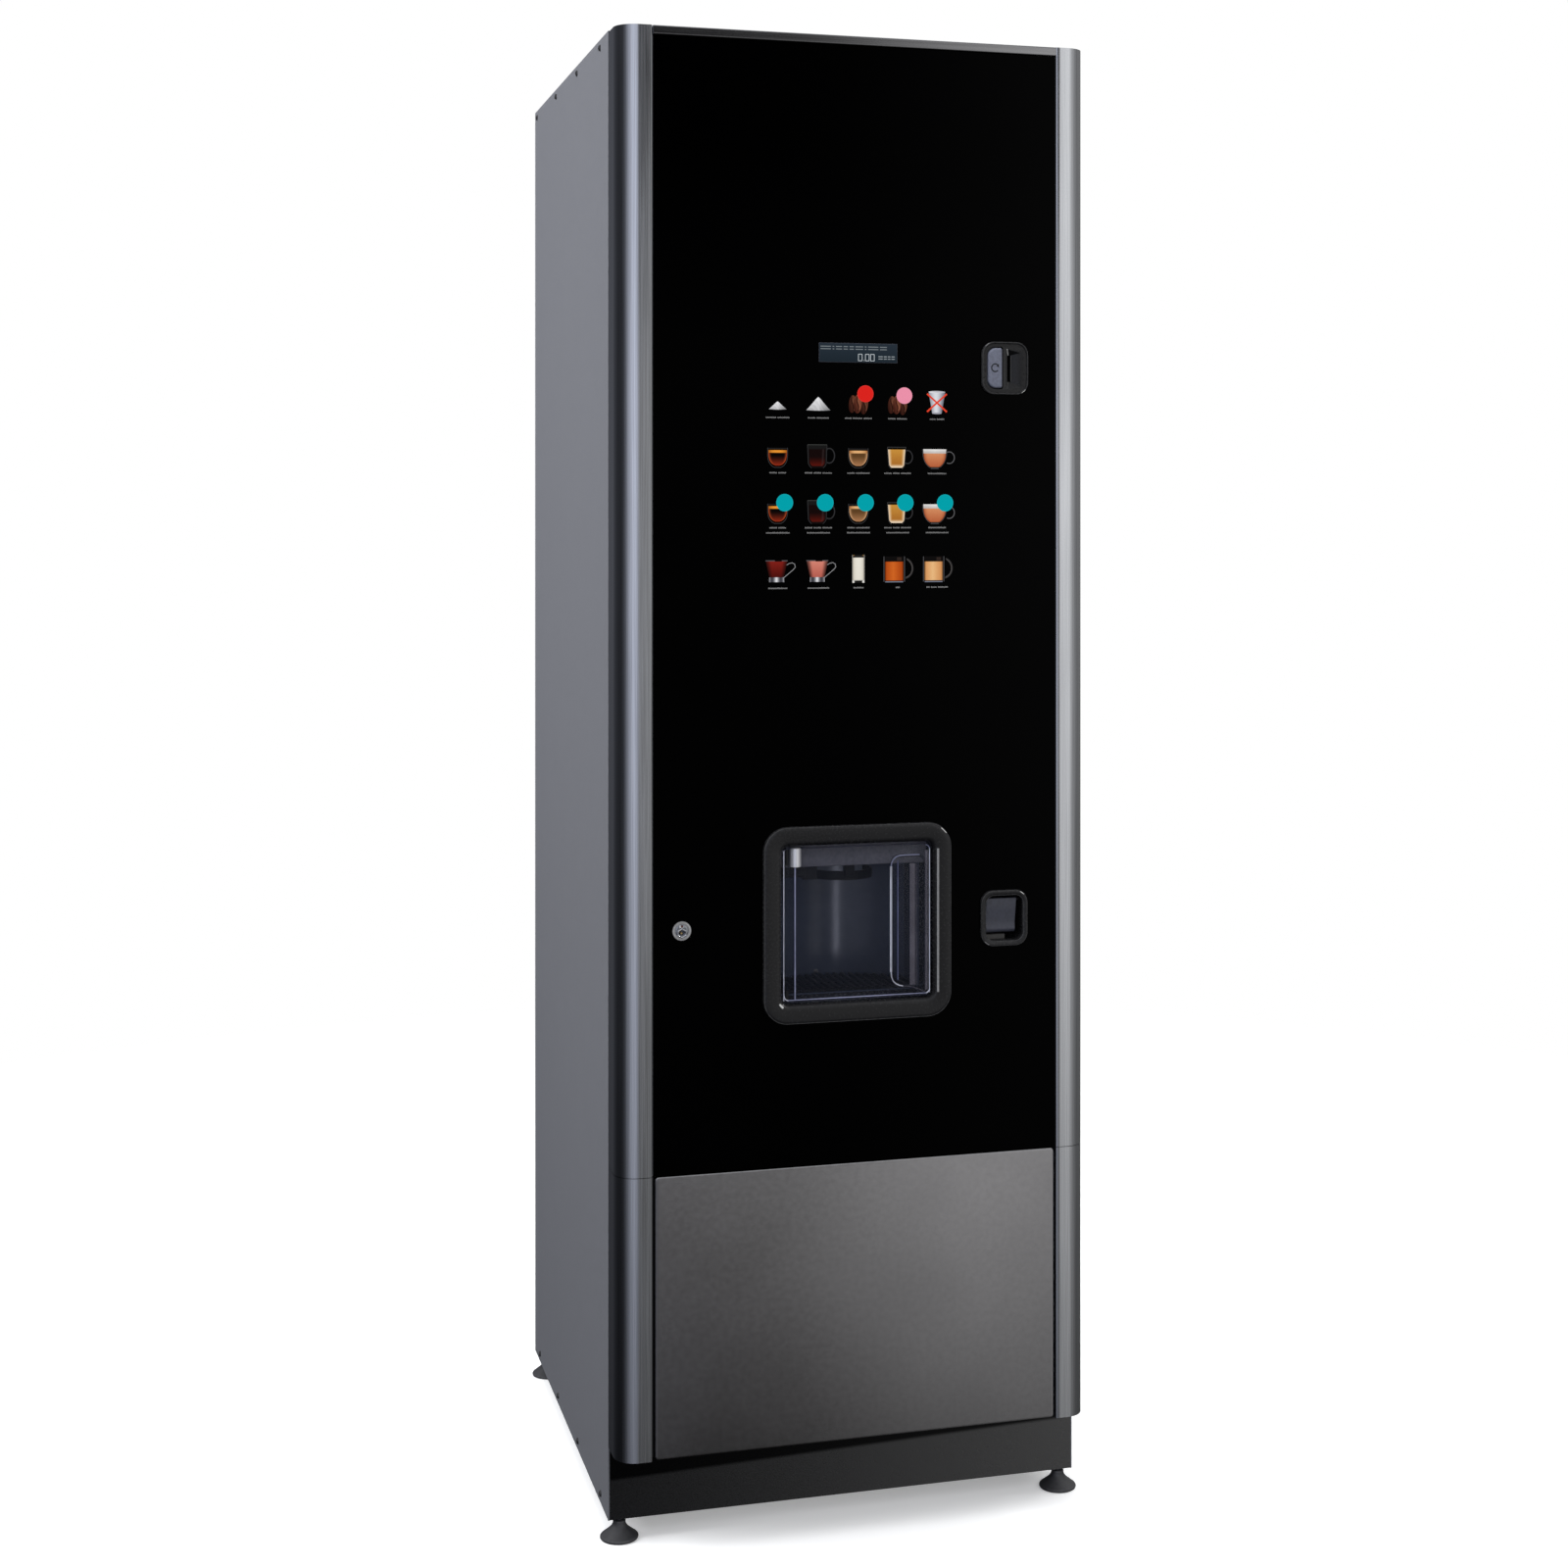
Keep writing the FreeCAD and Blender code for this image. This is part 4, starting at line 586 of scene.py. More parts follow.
# drip grille: bars over the dark tray, following the rounded back
bm = bmesh.new()
for i in range(20):
    x = -84 + i * 8.7
    yb = -200 + math.sqrt(max(0.0, 108.0 ** 2 - (x + 2) ** 2)) - 108.0 + 44.0 - 2.5
    yb = min(yb, -159.0)
    pts = [(x - 2.2, -248.8), (x + 2.2, -248.8), (x + 2.2, yb), (x - 2.2, yb)]
    loft(bm, [[(a, b, 598.6) for a, b in pts], [(a, b, 601.6) for a, b in pts], [(a + (0.6 if a < x else -0.6), b + (0.6 if b < -240 else -0.6), 602.2) for a, b in pts]], cap0=True, cap1=True)
for y in (-245.5, -207, -172):
    pts = [(-84 if y > -180 else -86.5, y - 1.6), (82 if y > -180 else 82.5, y - 1.6), (82 if y > -180 else 82.5, y + 1.6), (-84 if y > -180 else -86.5, y + 1.6)]
    if y > -180:
        pts = [(-60, y - 1.6), (56, y - 1.6), (56, y + 1.6), (-60, y + 1.6)]
    loft(bm, [[(a, b, 598.4) for a, b in pts], [(a, b, 600.6) for a, b in pts]], cap0=True, cap1=True)
finish_mesh("drip_bars", bm, M_BLACK2, "grille", slot="black_plastic", replaces=["drip_grille"], sharp=0.6)

# ------------------------------------------------------------------ clear delivery hatch
hc = (-1.8, 686.0)
bm = bmesh.new()
spec = [(172.4, 172.0, 7.0, -298.4), (172.4, 172.0, 7.0, -303.2), (171.4, 171.0, 6.6, -304.2), (169.4, 169.0, 6.0, -304.5)]
loft(bm, ring_loops(hc, spec), cap1=True)
loft(bm, ring_loops(hc, [(172.4, 172.0, 7.0, -298.4), (168.4, 168.0, 5.5, -298.4), (168.0, 167.6, 5.3, -301.7)]), cap1=True)
pc = (58.0, 685.0)
hatch = finish_mesh("hatch_clear_plate", bm, M_CLEAR, "hatch", slot="clear_plastic", replaces=["delivery_hatch"], sharp=0.7)
bm = bmesh.new()
pw, ph = 42.0, 150.0
spec = [(pw, ph, 9, -304.3), (pw, ph, 9, -306.6), (pw - 0.8, ph - 0.8, 8.6, -308.0), (pw - 2.2, ph - 2.2, 8.0, -308.5), (pw - 3.8, ph - 3.8, 7.2, -308.2), (pw - 4.8, ph - 4.8, 6.8, -307.2),
        (pw - 5.2, ph - 5.2, 6.5, -305.4), (pw - 6.5, ph - 6.5, 6.0, -304.4)]
loft(bm, ring_loops(pc, spec), closed_ring=True)
finish_mesh("hatch_pull_frame", bm, M_CLEAR, "hatch", slot="clear_plastic", sharp=0.7)
def bead(name, path, width, proud, mat, body="hatch", y=-304.5, closed=False):
    """Half-round line along X, Z points, proud of the front; its tint is a painted highlight on the hatch's clear edges
    or on a rim.
    """
    n_ = len(path)
    loops = []
    for i in range(n_):
        a = path[(i - 1) % n_ if closed else max(i - 1, 0)]
        b = path[(i + 1) % n_ if closed else min(i + 1, n_ - 1)]
        d = Vector((b[0] - a[0], b[1] - a[1])).normalized()
        lp = []
        for k in range(9):
            t = math.pi * k / 8
            s_, h = math.cos(t) * width / 2, math.sin(t) * proud
            lp.append((path[i][0] - d.y * s_, y - h, path[i][1] + d.x * s_))
        loops.append(lp)
    bm = bmesh.new()
    loft(bm, loops, closed_ring=closed, cap0=not closed, cap1=not closed)
    return finish_mesh(name, bm, mat, body, slot="clear_plastic", sharp=1.0)


def arc_pts(cx, cz, r, a0, a1, n_=8):
    return [(cx + r * math.cos(math.radians(a0 + (a1 - a0) * k / n_)), cz + r * math.sin(math.radians(a0 + (a1 - a0) * k / n_))) for k in range(n_ + 1)]


def vline(x, z0, z1, n_=11):
    return [(x, z0 + (z1 - z0) * k / (n_ - 1)) for k in range(n_)]


bead("hatch_rim_line", rr(-1.8, 686, 171.2, 170.8, 6.6, 8), 1.0, 1.0, M_EDGE_LOW, closed=True)
bead("hatch_left_line", vline(-87.0, 602.0, 769.0), 1.5, 1.5, M_EDGE)
bead("hatch_hinge_line", vline(-73.9, 603.0, 751.0), 1.8, 1.3, M_EDGE_MID)
# pull pocket: bright leading edge turning in at both corners, then finer lines inside it, all painted highlights on the
# clear edges
bead("pull_leading_edge", vline(37.8, 628.0, 747.0), 2.6, 1.9, M_EDGE)
bead("pull_corner_top", [(37.9, 747.0), (38.6, 751.0), (40.8, 754.8), (43.6, 757.2), (47.0, 758.5), (54.0, 759.0), (62.0, 759.1), (71.3, 759.0)], 1.5, 1.5, M_EDGE_MID)
bead("pull_corner_low", [(37.9, 628.0), (38.4, 622.6), (40.1, 617.8), (43.4, 614.4), (47.4, 612.4), (51.6, 611.6)], 1.4, 1.5, M_EDGE)
bead("pull_low_edge", [(51.6, 611.6), (60.0, 610.6), (70.0, 607.4), (80.0, 602.4)], 1.1, 1.2, M_EDGE_SOFT)
bead("pull_inner_line", vline(45.8, 618.6, 753.3), 1.3, 1.0, M_EDGE_DIM)
bead("pull_broad_line", vline(63.2, 612.0, 749.5), 6.6, 0.8, M_EDGE_SOFT)
bead("pull_outer_line", vline(67.6, 612.0, 749.5), 0.9, 1.2, M_EDGE_SOFT)
bead("hatch_right_line", vline(83.2, 603.0, 766.0), 1.2, 1.3, M_EDGE)
bead("hatch_right_band", vline(79.6, 606.0, 764.0), 3.4, 0.7, M_EDGE_SOFT)
bead("hatch_low_line", [(-83.0 + 16.2 * k, 602.3) for k in range(11)], 1.2, 1.2, M_EDGE_MID)
bead("hatch_corner_low", arc_pts(-81.0, 607.6, 5.6, 180, 262, 6), 1.5, 1.4, M_EDGE)
bead("hatch_corner_right", arc_pts(78.0, 607.6, 5.4, 278, 356, 6), 1.4, 1.4, M_EDGE)
bead("hatch_corner_top", arc_pts(78.0, 764.4, 5.4, 4, 82, 6), 1.1, 1.3, M_EDGE_MID)
lathe("hatch_barrel_top", [(0.001, 0), (5.8, 0), (6.6, 0.7), (6.6, 20.8), (5.8, 21.5), (0.001, 21.5)], -72.8, -301.6, M_BARREL, "hatch", n=48, base=750.2, slot="chrome_trim")
lathe("hatch_pin_top", [(0.001, 0), (1.9, 0.1), (1.9, 19), (0.001, 19.1)], -83.0, -303.0, M_BLACK2, "hatch", n=20, base=752.4, slot="black_plastic")
lathe("hatch_pin_low", [(0.001, 0), (1.9, 0.1), (1.9, 12), (0.001, 12.1)], -83.0, -303.0, M_BLACK2, "hatch", n=20, base=600.6, slot="black_plastic")
# pale beads along the black surround's rims: painted highlights where the rounded edges would catch the light
bead("surround_outer_rim", rr(*HB, 217.0, 217.5, 27.2, 12), 0.6, 0.4, M_RIM_HIGHLIGHT, body="door", y=-310.85, closed=True)
bead("surround_inner_rim", vline(91.6, 604.0, 766.0), 2.6, 0.5, M_RIM_HIGHLIGHT_BRIGHT, body="door", y=-310.75)
# pale arcs at two rim corners: painted glints
bead("surround_glint_outer", arc_pts(79.5, 767.55, 26.7, 36, 54, 8), 1.4, 0.45, M_GLINT_PAINT, body="door", y=-310.85)
bead("surround_glint_inner", arc_pts(-81.9, 605.9, 12.6, 208, 236, 8), 2.2, 0.45, M_GLINT_PAINT, body="door", y=-310.8)

# ------------------------------------------------------------------ coin entry
def d_shape(x0, x1, z0, z1, rl, rs, n=10):
    pts = []
    for cx, cz, r, a0 in ((x1 - rs, z0 + rs, rs, -90), (x1 - rs, z1 - rs, rs, 0), (x0 + rl, z1 - rl, rl, 90), (x0 + rl, z0 + rl, rl, 180)):
        for i in range(n + 1):
            a = math.radians(a0 + 90 * i / n)
            pts.append((cx + r * math.cos(a), cz + r * math.sin(a)))
    return pts


bm = bmesh.new()
outer = ring_loops(CE, [(55.4, 59.9, 14.5, -306.5), (55.4, 59.9, 14.5, -309.6), (54.8, 59.3, 14.2, -310.8), (53.6, 58.1, 13.6, -311.5), (52.0, 56.5, 12.8, -311.4), (51.0, 55.5, 12.3, -310.6), (50.6, 55.1, 12.1, -310.0)], 10)
rows = loft(bm, outer)
floor = rr(*CE, 50.6, 55.1, 12.1, 10)
win = d_shape(150.0, 169.5, 1286.0, 1334.2, 10.5, 2.4)
fun = [(191.5, 1288.0), (190.5, 1327.5), (174.2, 1331.8), (174.2, 1285.6)]
slotr = [(180.3, 1294.5), (180.3, 1325.0), (177.2, 1325.0), (177.2, 1294.5)]
flat = floor + win + fun
vs = [bm.verts.new(Vector((x, -310.0, z)) * MM) for x, z in flat]
for a, b, c3 in tessellate_polygon([[Vector((x, z, 0)) for x, z in p] for p in (floor, win, fun)]):
    bm.faces.new((vs[a], vs[b], vs[c3]))
loft(bm, [xz(win, -310.0), xz(win, -290.0)])
loft(bm, [xz(fun, -310.0), xz(slotr, -304.5), xz(slotr, -286.0)])
spig = ring_loops(CE, [(55.4, 59.9, 14.5, -306.5), (46, 50, 9, -306.5), (46, 50, 9, -285.0)], 10)
loft(bm, spig)
finish_mesh("coin_surround", bm, M_BLACK, "door", slot="black_plastic", replaces=["coin_entry_bezel"], sharp=0.5)
slab("coin_throat", (176.8, 180.8), (-290.0, -286.0), (1293, 1327), M_BLACK2, "door", bevel=0.3, slot="black_plastic")

bm = bmesh.new()
kp = lambda s: d_shape(151.1 + s, 168.6 - s, 1287.2 + s, 1333.0 - s, max(9.8 - s, 2), max(2.2 - s * 0.4, 0.8))
loft(bm, [xz(kp(0), -290.0), xz(kp(0), -309.0), xz(kp(0.3), -309.9), xz(kp(0.9), -310.6), xz(kp(1.8), -310.95), xz(kp(3.4), -311.05)], cap0=True, cap1=True)
finish_mesh("coin_key_cap", bm, M_KEY, "return_button", slot="slate_plastic", replaces=["coin_return_button"], sharp=0.5)
bm = bmesh.new()
# a plain return arrow pressed into the key
def stroke_solid(bm, pts, w, y0, y1):
    for (xa, za), (xb, zb) in zip(pts, pts[1:]):
        d = Vector((xb - xa, zb - za)).normalized()
        nx, nz = -d.y * w / 2, d.x * w / 2
        q = [(xa + nx, za + nz), (xa - nx, za - nz), (xb - nx, zb - nz), (xb + nx, zb + nz)]
        loft(bm, [xz(q, y0), xz(q, y1)], cap0=True, cap1=True)


mc, mr = (159.8, 1310.2), 4.4
mark = [(mc[0] + mr * math.cos(math.radians(a)), mc[1] + mr * math.sin(math.radians(a))) for a in range(45, 316, 15)]
stroke_solid(bm, mark, 1.4, -311.14, -310.9)
head = [(mc[0] + q * math.cos(math.radians(a)), mc[1] + q * math.sin(math.radians(a))) for q, a in ((mr - 2.0, 48), (mr + 2.0, 48), (mr, 4))]
loft(bm, [xz(head, -311.14), xz(head, -310.9)], cap0=True, cap1=True)
finish_mesh("coin_key_mark", bm, M_BLACK2, "return_button", slot="black_plastic", sharp=0.5)

# pale tubes and beads on the slot's facet edges and the ring's rim: painted highlights and glints
tube("coin_facet_top", [(174.3, -310.1, 1331.5), (175.8, -307.4, 1328.2), (177.2, -304.8, 1325.2)], 0.55, M_GLINT_PAINT, "door", slot="black_plastic")
tube("coin_facet_low", [(174.3, -310.1, 1286.0), (175.8, -307.4, 1290.2), (177.2, -304.8, 1294.4)], 0.45, M_RIM_HIGHLIGHT, "door", slot="black_plastic")
tube("coin_facet_side", [(180.6, -304.9, 1324.8), (180.6, -304.9, 1310.0), (180.6, -304.9, 1294.8)], 0.45, M_RIM_HIGHLIGHT, "door", slot="black_plastic")
bead("coin_outer_rim", rr(*CE, 54.3, 58.8, 13.9, 10), 0.5, 0.35, M_RIM_HIGHLIGHT, body="door", y=-311.1, closed=True)
bead("coin_glint_top", arc_pts(158.4, 1325.7, 13.3, 112, 140, 8), 1.0, 0.38, M_RIM_HIGHLIGHT_BRIGHT, body="door", y=-311.1)
bead("coin_glint_low", arc_pts(185.4, 1294.1, 13.3, -64, -38, 8), 1.1, 0.38, M_GLINT_PAINT, body="door", y=-311.1)

# ------------------------------------------------------------------ coin return
bm = bmesh.new()
spec = [(55.8, 63.2, 14.5, -306.5), (55.8, 63.2, 14.5, -309.6), (55.2, 62.6, 14.2, -310.8), (54.0, 61.4, 13.6, -311.4), (52.6, 60.0, 13.0, -311.5), (46.6, 54.0, 10.6, -311.3), (44.4, 51.8, 9.8, -310.6),
        (43.2, 50.5, 9.2, -309.0), (42.8, 50.0, 9.0, -306.0), (42.8, 50.0, 9.0, -247.5)]
loft(bm, ring_loops(CR, spec, 10), cap1=True)
loft(bm, ring_loops(CR, [(55.8, 63.2, 14.5, -306.5), (46, 53, 9.5, -306.5), (46, 53, 9.5, -245.5)], 10), cap1=True)
finish_mesh("return_surround", bm, M_BLACK, "door", slot="black_plastic", replaces=["coin_return_cup"], sharp=0.5)
# flap: plate with a rolled lower lip and a side cheek, hung from its top pin
bm = bmesh.new()
top_z, x0 = 705.6, 150.6
prof = [(-304.4, 705.6), (-304.8, 704.6), (-304.6, 690.0), (-304.2, 679.5), (-304.6, 675.6), (-305.6, 672.2), (-305.9, 670.4), (-305.0, 668.0), (-302.6, 666.6), (-296.6, 666.0)]
inner = [(-296.4, 667.8), (-301.4, 668.2), (-303.4, 669.6), (-303.6, 672.0), (-302.9, 675.4), (-302.5, 679.5), (-302.8, 690.0), (-303.0, 704.6), (-302.8, 705.6)]
sect = prof + inner
xr = lambda z: 187.4 - (705.6 - z) * 0.06
loft(bm, [[(x0 + (1.2 if z > 704 else 0.0), y, z) for y, z in sect], [(xr(z), y, z) for y, z in sect]], cap0=True, cap1=True)
finish_mesh("return_flap_shell", bm, M_SLATE, "return_flap_door", slot="slate_plastic", replaces=["return_flap"], sharp=0.7, bevel=0.5)
lathe("return_flap_pin", [(0.001, 0), (1.0, 0.1), (1.2, 0.3), (1.2, 39.8), (1.0, 40), (0.001, 40.1)], -303.5, 704.0, M_BLACK2, "return_flap_door", n=20, axis="x", base=150.0, slot="stainless")
# pale beads along the return ring's rims: painted highlights and glints
bead("return_outer_rim", rr(*CR, 54.7, 62.1, 14.1, 10), 0.45, 0.35, M_RIM_HIGHLIGHT, body="door", y=-311.05, closed=True)
bead("return_glint_top", arc_pts(184.3, 700.7, 13.5, 44, 66, 8), 1.4, 0.38, M_GLINT_PAINT, body="door", y=-311.1)
bead("return_glint_low", arc_pts(157.7, 666.7, 13.5, 220, 246, 8), 1.2, 0.38, M_RIM_HIGHLIGHT_BRIGHT, body="door", y=-311.1)
bead("return_inner_rim", rr(*CR, 45.2, 52.6, 10.0, 10), 0.4, 0.3, M_RIM_HIGHLIGHT, body="door", y=-311.0, closed=True)
slab("return_tray_floor", (151.6, 174.0), (-303.0, -262.0), (658.9, 664.4), M_TRAY, "door", bevel=0.4, slot="black_plastic")

# ------------------------------------------------------------------ lock
bm = bmesh.new()
loft(bm, lathe_loops([(7.9, -306.6), (10.5, -306.6), (10.5, -308.0), (10.1, -308.7), (9.3, -308.95), (8.5, -308.8), (8.0, -308.3), (7.9, -307.4)], LK[0], LK[1], 64, "y"), closed_ring=True)
finish_mesh("lock_ring_trim", bm, M_CHROME, "door", slot="chrome_trim", sharp=0.7)
bm = bmesh.new()
loft(bm, lathe_loops([(4.4, -308.5), (6.9, -308.5), (7.3, -308.3), (7.3, -304.5), (4.4, -304.5)], LK[0], LK[1], 48, "y"), closed_ring=True)
finish_mesh("lock_face", bm, M_LOCKF, "lock_plug", slot="stainless", sharp=0.7)
hexr = lambda r, a: r * math.cos(math.pi / 6) / math.cos(((a + math.pi / 6) % (math.pi / 3)) - math.pi / 6)
bm = bmesh.new()
loops = []
for ro, yy, hx in ((3.5, -308.2, 0), (5.0, -308.4, 1), (5.7, -308.4, 1), (5.9, -309.0, 1), (5.5, -309.9, 1), (4.9, -310.2, 1), (4.2, -310.1, 0), (3.7, -309.6, 0)):
    loops.append([(LK[0] + (hexr(ro, 2 * math.pi * k / 48) if hx else ro) * math.cos(2 * math.pi * k / 48), yy, LK[1] - 2.5 + (hexr(ro, 2 * math.pi * k / 48) if hx else ro) * math.sin(2 * math.pi * k / 48)) for k in range(48)])
loft(bm, loops, closed_ring=True)
finish_mesh("lock_key_tube", bm, M_CHROME, "lock_plug", slot="chrome_trim", sharp=0.5)
lathe("lock_pin", [(0.001, -303.0), (1.3, -303.0), (1.3, -308.8), (0.9, -309.3), (0.001, -309.3)], LK[0] - 0.3, LK[1] - 2.4, M_BRASS, "lock_plug", n=24, axis="y", slot="stainless")
bm = bmesh.new()
loft(bm, ring_loops((LK[0], LK[1] + 5.0), [(5.6, 3.6, 0.8, -308.4), (5.6, 3.6, 0.8, -309.0), (5.2, 3.2, 0.7, -309.3), (3.0, 1.9, 0.4, -309.2), (2.7, 1.7, 0.3, -308.9)], 4), cap0=True, cap1=True)
finish_mesh("lock_pip", bm, M_CHROME, "lock_plug", slot="chrome_trim", sharp=0.5)
bm = bmesh.new()
loft(bm, ring_loops((LK[0], LK[1] + 5.0), [(2.8, 1.8, 0.4, -308.8), (2.8, 1.8, 0.4, -309.05)], 4), cap0=True, cap1=True)
finish_mesh("lock_pip_mark", bm, M_RUST, "lock_plug", slot="black_plastic", sharp=0.7)

# ------------------------------------------------------------------ feet
for tag, x, y in (("front_left", -260.9, -243.3), ("front_right", 260.9, -243.3), ("rear_left", -260.9, 278.5), ("rear_right", 260.9, 278.5)):
    b = "foot_" + tag.split("_")[0][0] + tag.split("_")[1][0]
    prof = [(0.001, 0), (19.5, 0), (21.0, 0.6), (21.5, 1.8), (21.4, 3.0), (20.7, 3.9), (20.2, 4.0), (18.6, 5.4), (16.4, 7.2), (14.0, 9.0), (11.8, 10.8), (9.9, 12.7), (8.4, 14.6),
            (7.5, 16.4), (7.2, 18.0), (7.2, 19.6), (6.6, 20.4), (5.3, 20.6)]
    th = []
    z = 20.6
    while z < 64:
        th += [(4.95, z + 0.35), (4.35, z + 0.75), (4.35, z + 0.95), (4.95, z + 1.35)]
        z += 1.5
    lathe("foot_pad_" + tag, prof + [(0.001, 20.7)], x, y, M_FOOT, b, slot="foot_rubber", replaces=["levelling_foot_" + tag], sharp=0.9)
    lathe("foot_thread_" + tag, [(0.001, 20.4), (4.9, 20.4)] + th + [(4.4, 65.6), (0.001, 65.9)], x, y, M_THREAD, b, n=32, slot="zinc_steel", sharp=0.9)

# ------------------------------------------------------------------ menu print
class Ink:
    """Flat printed shapes in X, Z millimetres, each with its own colour, in thin layers."""

    def __init__(self):
        self.bm = bmesh.new()
        self.col = self.bm.loops.layers.float_color.new("ink")
        self.layer = 0

    def grid(self, fn, nu, nv, step=True):
        """fn(u, v) -> (x, z, (r, g, b)) with u, v in 0..1."""
        y = -306.56 - 0.03 * self.layer
        if step:
            self.layer += 1
        vs = [[None] * (nv + 1) for _ in range(nu + 1)]
        cs = {}
        for i in range(nu + 1):
            for j in range(nv + 1):
                x, z, c_ = fn(i / nu, j / nv)
                v = self.bm.verts.new(Vector((x, y, z)) * MM)
                vs[i][j] = v
                cs[v] = (*srgb(*c_), 1.0)
        for i in range(nu):
            for j in range(nv):
                try:
                    f = self.bm.faces.new((vs[i][j], vs[i + 1][j], vs[i + 1][j + 1], vs[i][j + 1]))
                except ValueError:
                    continue
                for lp in f.loops:
                    lp[self.col] = cs[lp.vert]

    def disc(self, cx, cz, r, c_, c2=None):
        c2 = c2 or c_
        self.grid(lambda u, v: (cx + r * v * math.cos(2 * math.pi * u), cz + r * v * math.sin(2 * math.pi * u), c_ if v < 0.93 else c2), 40, 8)

    def ellipse(self, cx, cz, rx, rz, c0, c1, tilt=0.0):
        ct, st = math.cos(tilt), math.sin(tilt)

        def fn(u, v):
            a, b = rx * v * math.cos(2 * math.pi * u), rz * v * math.sin(2 * math.pi * u)
            k = 0.5 + 0.5 * v * math.sin(2 * math.pi * u + 0.8)
            return cx + a * ct - b * st, cz + a * st + b * ct, tuple(c0[i] * (1 - k) + c1[i] * k for i in range(3))
        self.grid(fn, 32, 8)

    def stroke(self, pts, w, c_):
        n_ = len(pts) - 1

        def fn(u, v):
            i = min(int(round(u * n_)), n_)
            a, b = pts[max(i - 1, 0)], pts[min(i + 1, n_)]
            d = Vector((b[0] - a[0], b[1] - a[1])).normalized()
            s = (v - 0.5) * w
            return pts[i][0] - d.y * s, pts[i][1] + d.x * s, c_
        self.grid(fn, n_, 1)

    def bowl(self, cx, ztop, zlow, half, colour, nu=14, nv=22):
        """half(v) gives the half width at v (0 top, 1 bottom); colour(u, v) the ink."""
        self.grid(lambda u, v: (cx + (2 * u - 1) * half(v), ztop + (zlow - ztop) * v, colour(u, v)), nu, nv)

    def bar(self, cx, cz, w, d, c_):
        self.grid(lambda u, v: (cx + (u - 0.5) * w, cz + (v - 0.5) * d, c_), 2, 1)

    def done(self, name, body="door"):
        me = bpy.data.meshes.new(name)
        self.bm.to_mesh(me)
        self.bm.free()
        o = bpy.data.objects.new(name, me)
        bpy.context.scene.collection.objects.link(o)
        me.materials.append(M_PRINT)
        m = o.modifiers.new("ink_thickness", "SOLIDIFY")
        m.thickness = 0.02 * MM
        m.offset = 0
        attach(o, body)
        return o


COLS = [-94.3, -47.5, -1.0, 44.9, 91.5]
ZY = lambda y: 1251.0 + (345 - y) * 0.2095      # height of a drawing line on the glass
SX = 0.2165


def mix(a, b, t):
    t = max(0.0, min(1.0, t))
    return tuple(a[i] * (1 - t) + b[i] * t for i in range(3))


GREY, DIM, FAINT = (150, 150, 150), (70, 70, 72), (42, 42, 44)


def caption(ink, cx, z, words):
    total = sum(words) + 1.3 * (len(words) - 1)
    x = cx - total / 2
    for w in words:
        # each word is a run of short upright ticks, no letters
        k = max(2, int(w / 1.15))
        for i in range(k):
            hgt = 1.25 + 0.5 * rng.random()
            ink.bar(x + (i + 0.5) * w / k, z + (hgt - 1.5) / 2, w / k * 0.62, hgt, (138, 138, 138))
            ink.layer -= 1
        x += w + 1.3
    ink.layer += 1


def heap(ink, cx, zb, hw, hh):
    def fn(u, v):
        x = (2 * u - 1)
        prof = max(0.0, 1 - abs(x) ** 1.15) * (1 + 0.10 * math.cos(3 * x))
        g = 205 + 35 * (1 - abs(x)) - 60 * (x > 0.1) * x - 40 * (1 - v) + 10 * math.sin(37 * u + 11 * v)
        return cx + x * hw, zb + prof * hh * v - 0.5 * (1 - v) * (1 - x * x), (g, g, g * 1.01)
    ink.grid(fn, 28, 10)


def beans(ink, cx, zc):
    for dx, dz, w, h, sh, tilt in ((-7.0, 0.2, 4.2, 9.9, 0.85, -0.10), (6.9, -0.8, 4.3, 10.4, 0.80, -0.14), (-0.9, 0.4, 4.7, 10.6, 1.08, -0.06)):
        c0, c1 = tuple(v * sh for v in (52, 22, 16)), tuple(v * sh for v in (132, 76, 54))
        ink.ellipse(cx + dx, zc + dz, w, h, c0, c1, tilt=tilt)
        ink.stroke([(cx + dx + 1.0 * math.sin(6.0 * k / 11.0) - tilt * (8.6 - 17.2 * k / 11.0) * 0.4, zc + dz - 8.6 + 17.2 * k / 11.0) for k in range(12)], 0.9, tuple(v * sh for v in (26, 10, 8)))
        ink.stroke([(cx + dx + 1.9 + 0.9 * math.sin(6.0 * k / 9.0), zc + dz - 6.4 + 12.8 * k / 9.0) for k in range(10)], 0.45, tuple(v * sh for v in (160, 104, 78)))


def badge(ink, cx, cz, r, c_):
    """A plain coloured disc with a slightly lighter rim."""
    ink.disc(cx, cz, r, c_, mix(c_, (255, 255, 255), 0.10))


def round_half(w0, p=2.6, w1=0.35):
    return lambda v: w0 * (1 - 0.02 * v) * max(0.02, (1 - max(0.0, (v - 0.25) / 0.75) ** p * (1 - w1)))


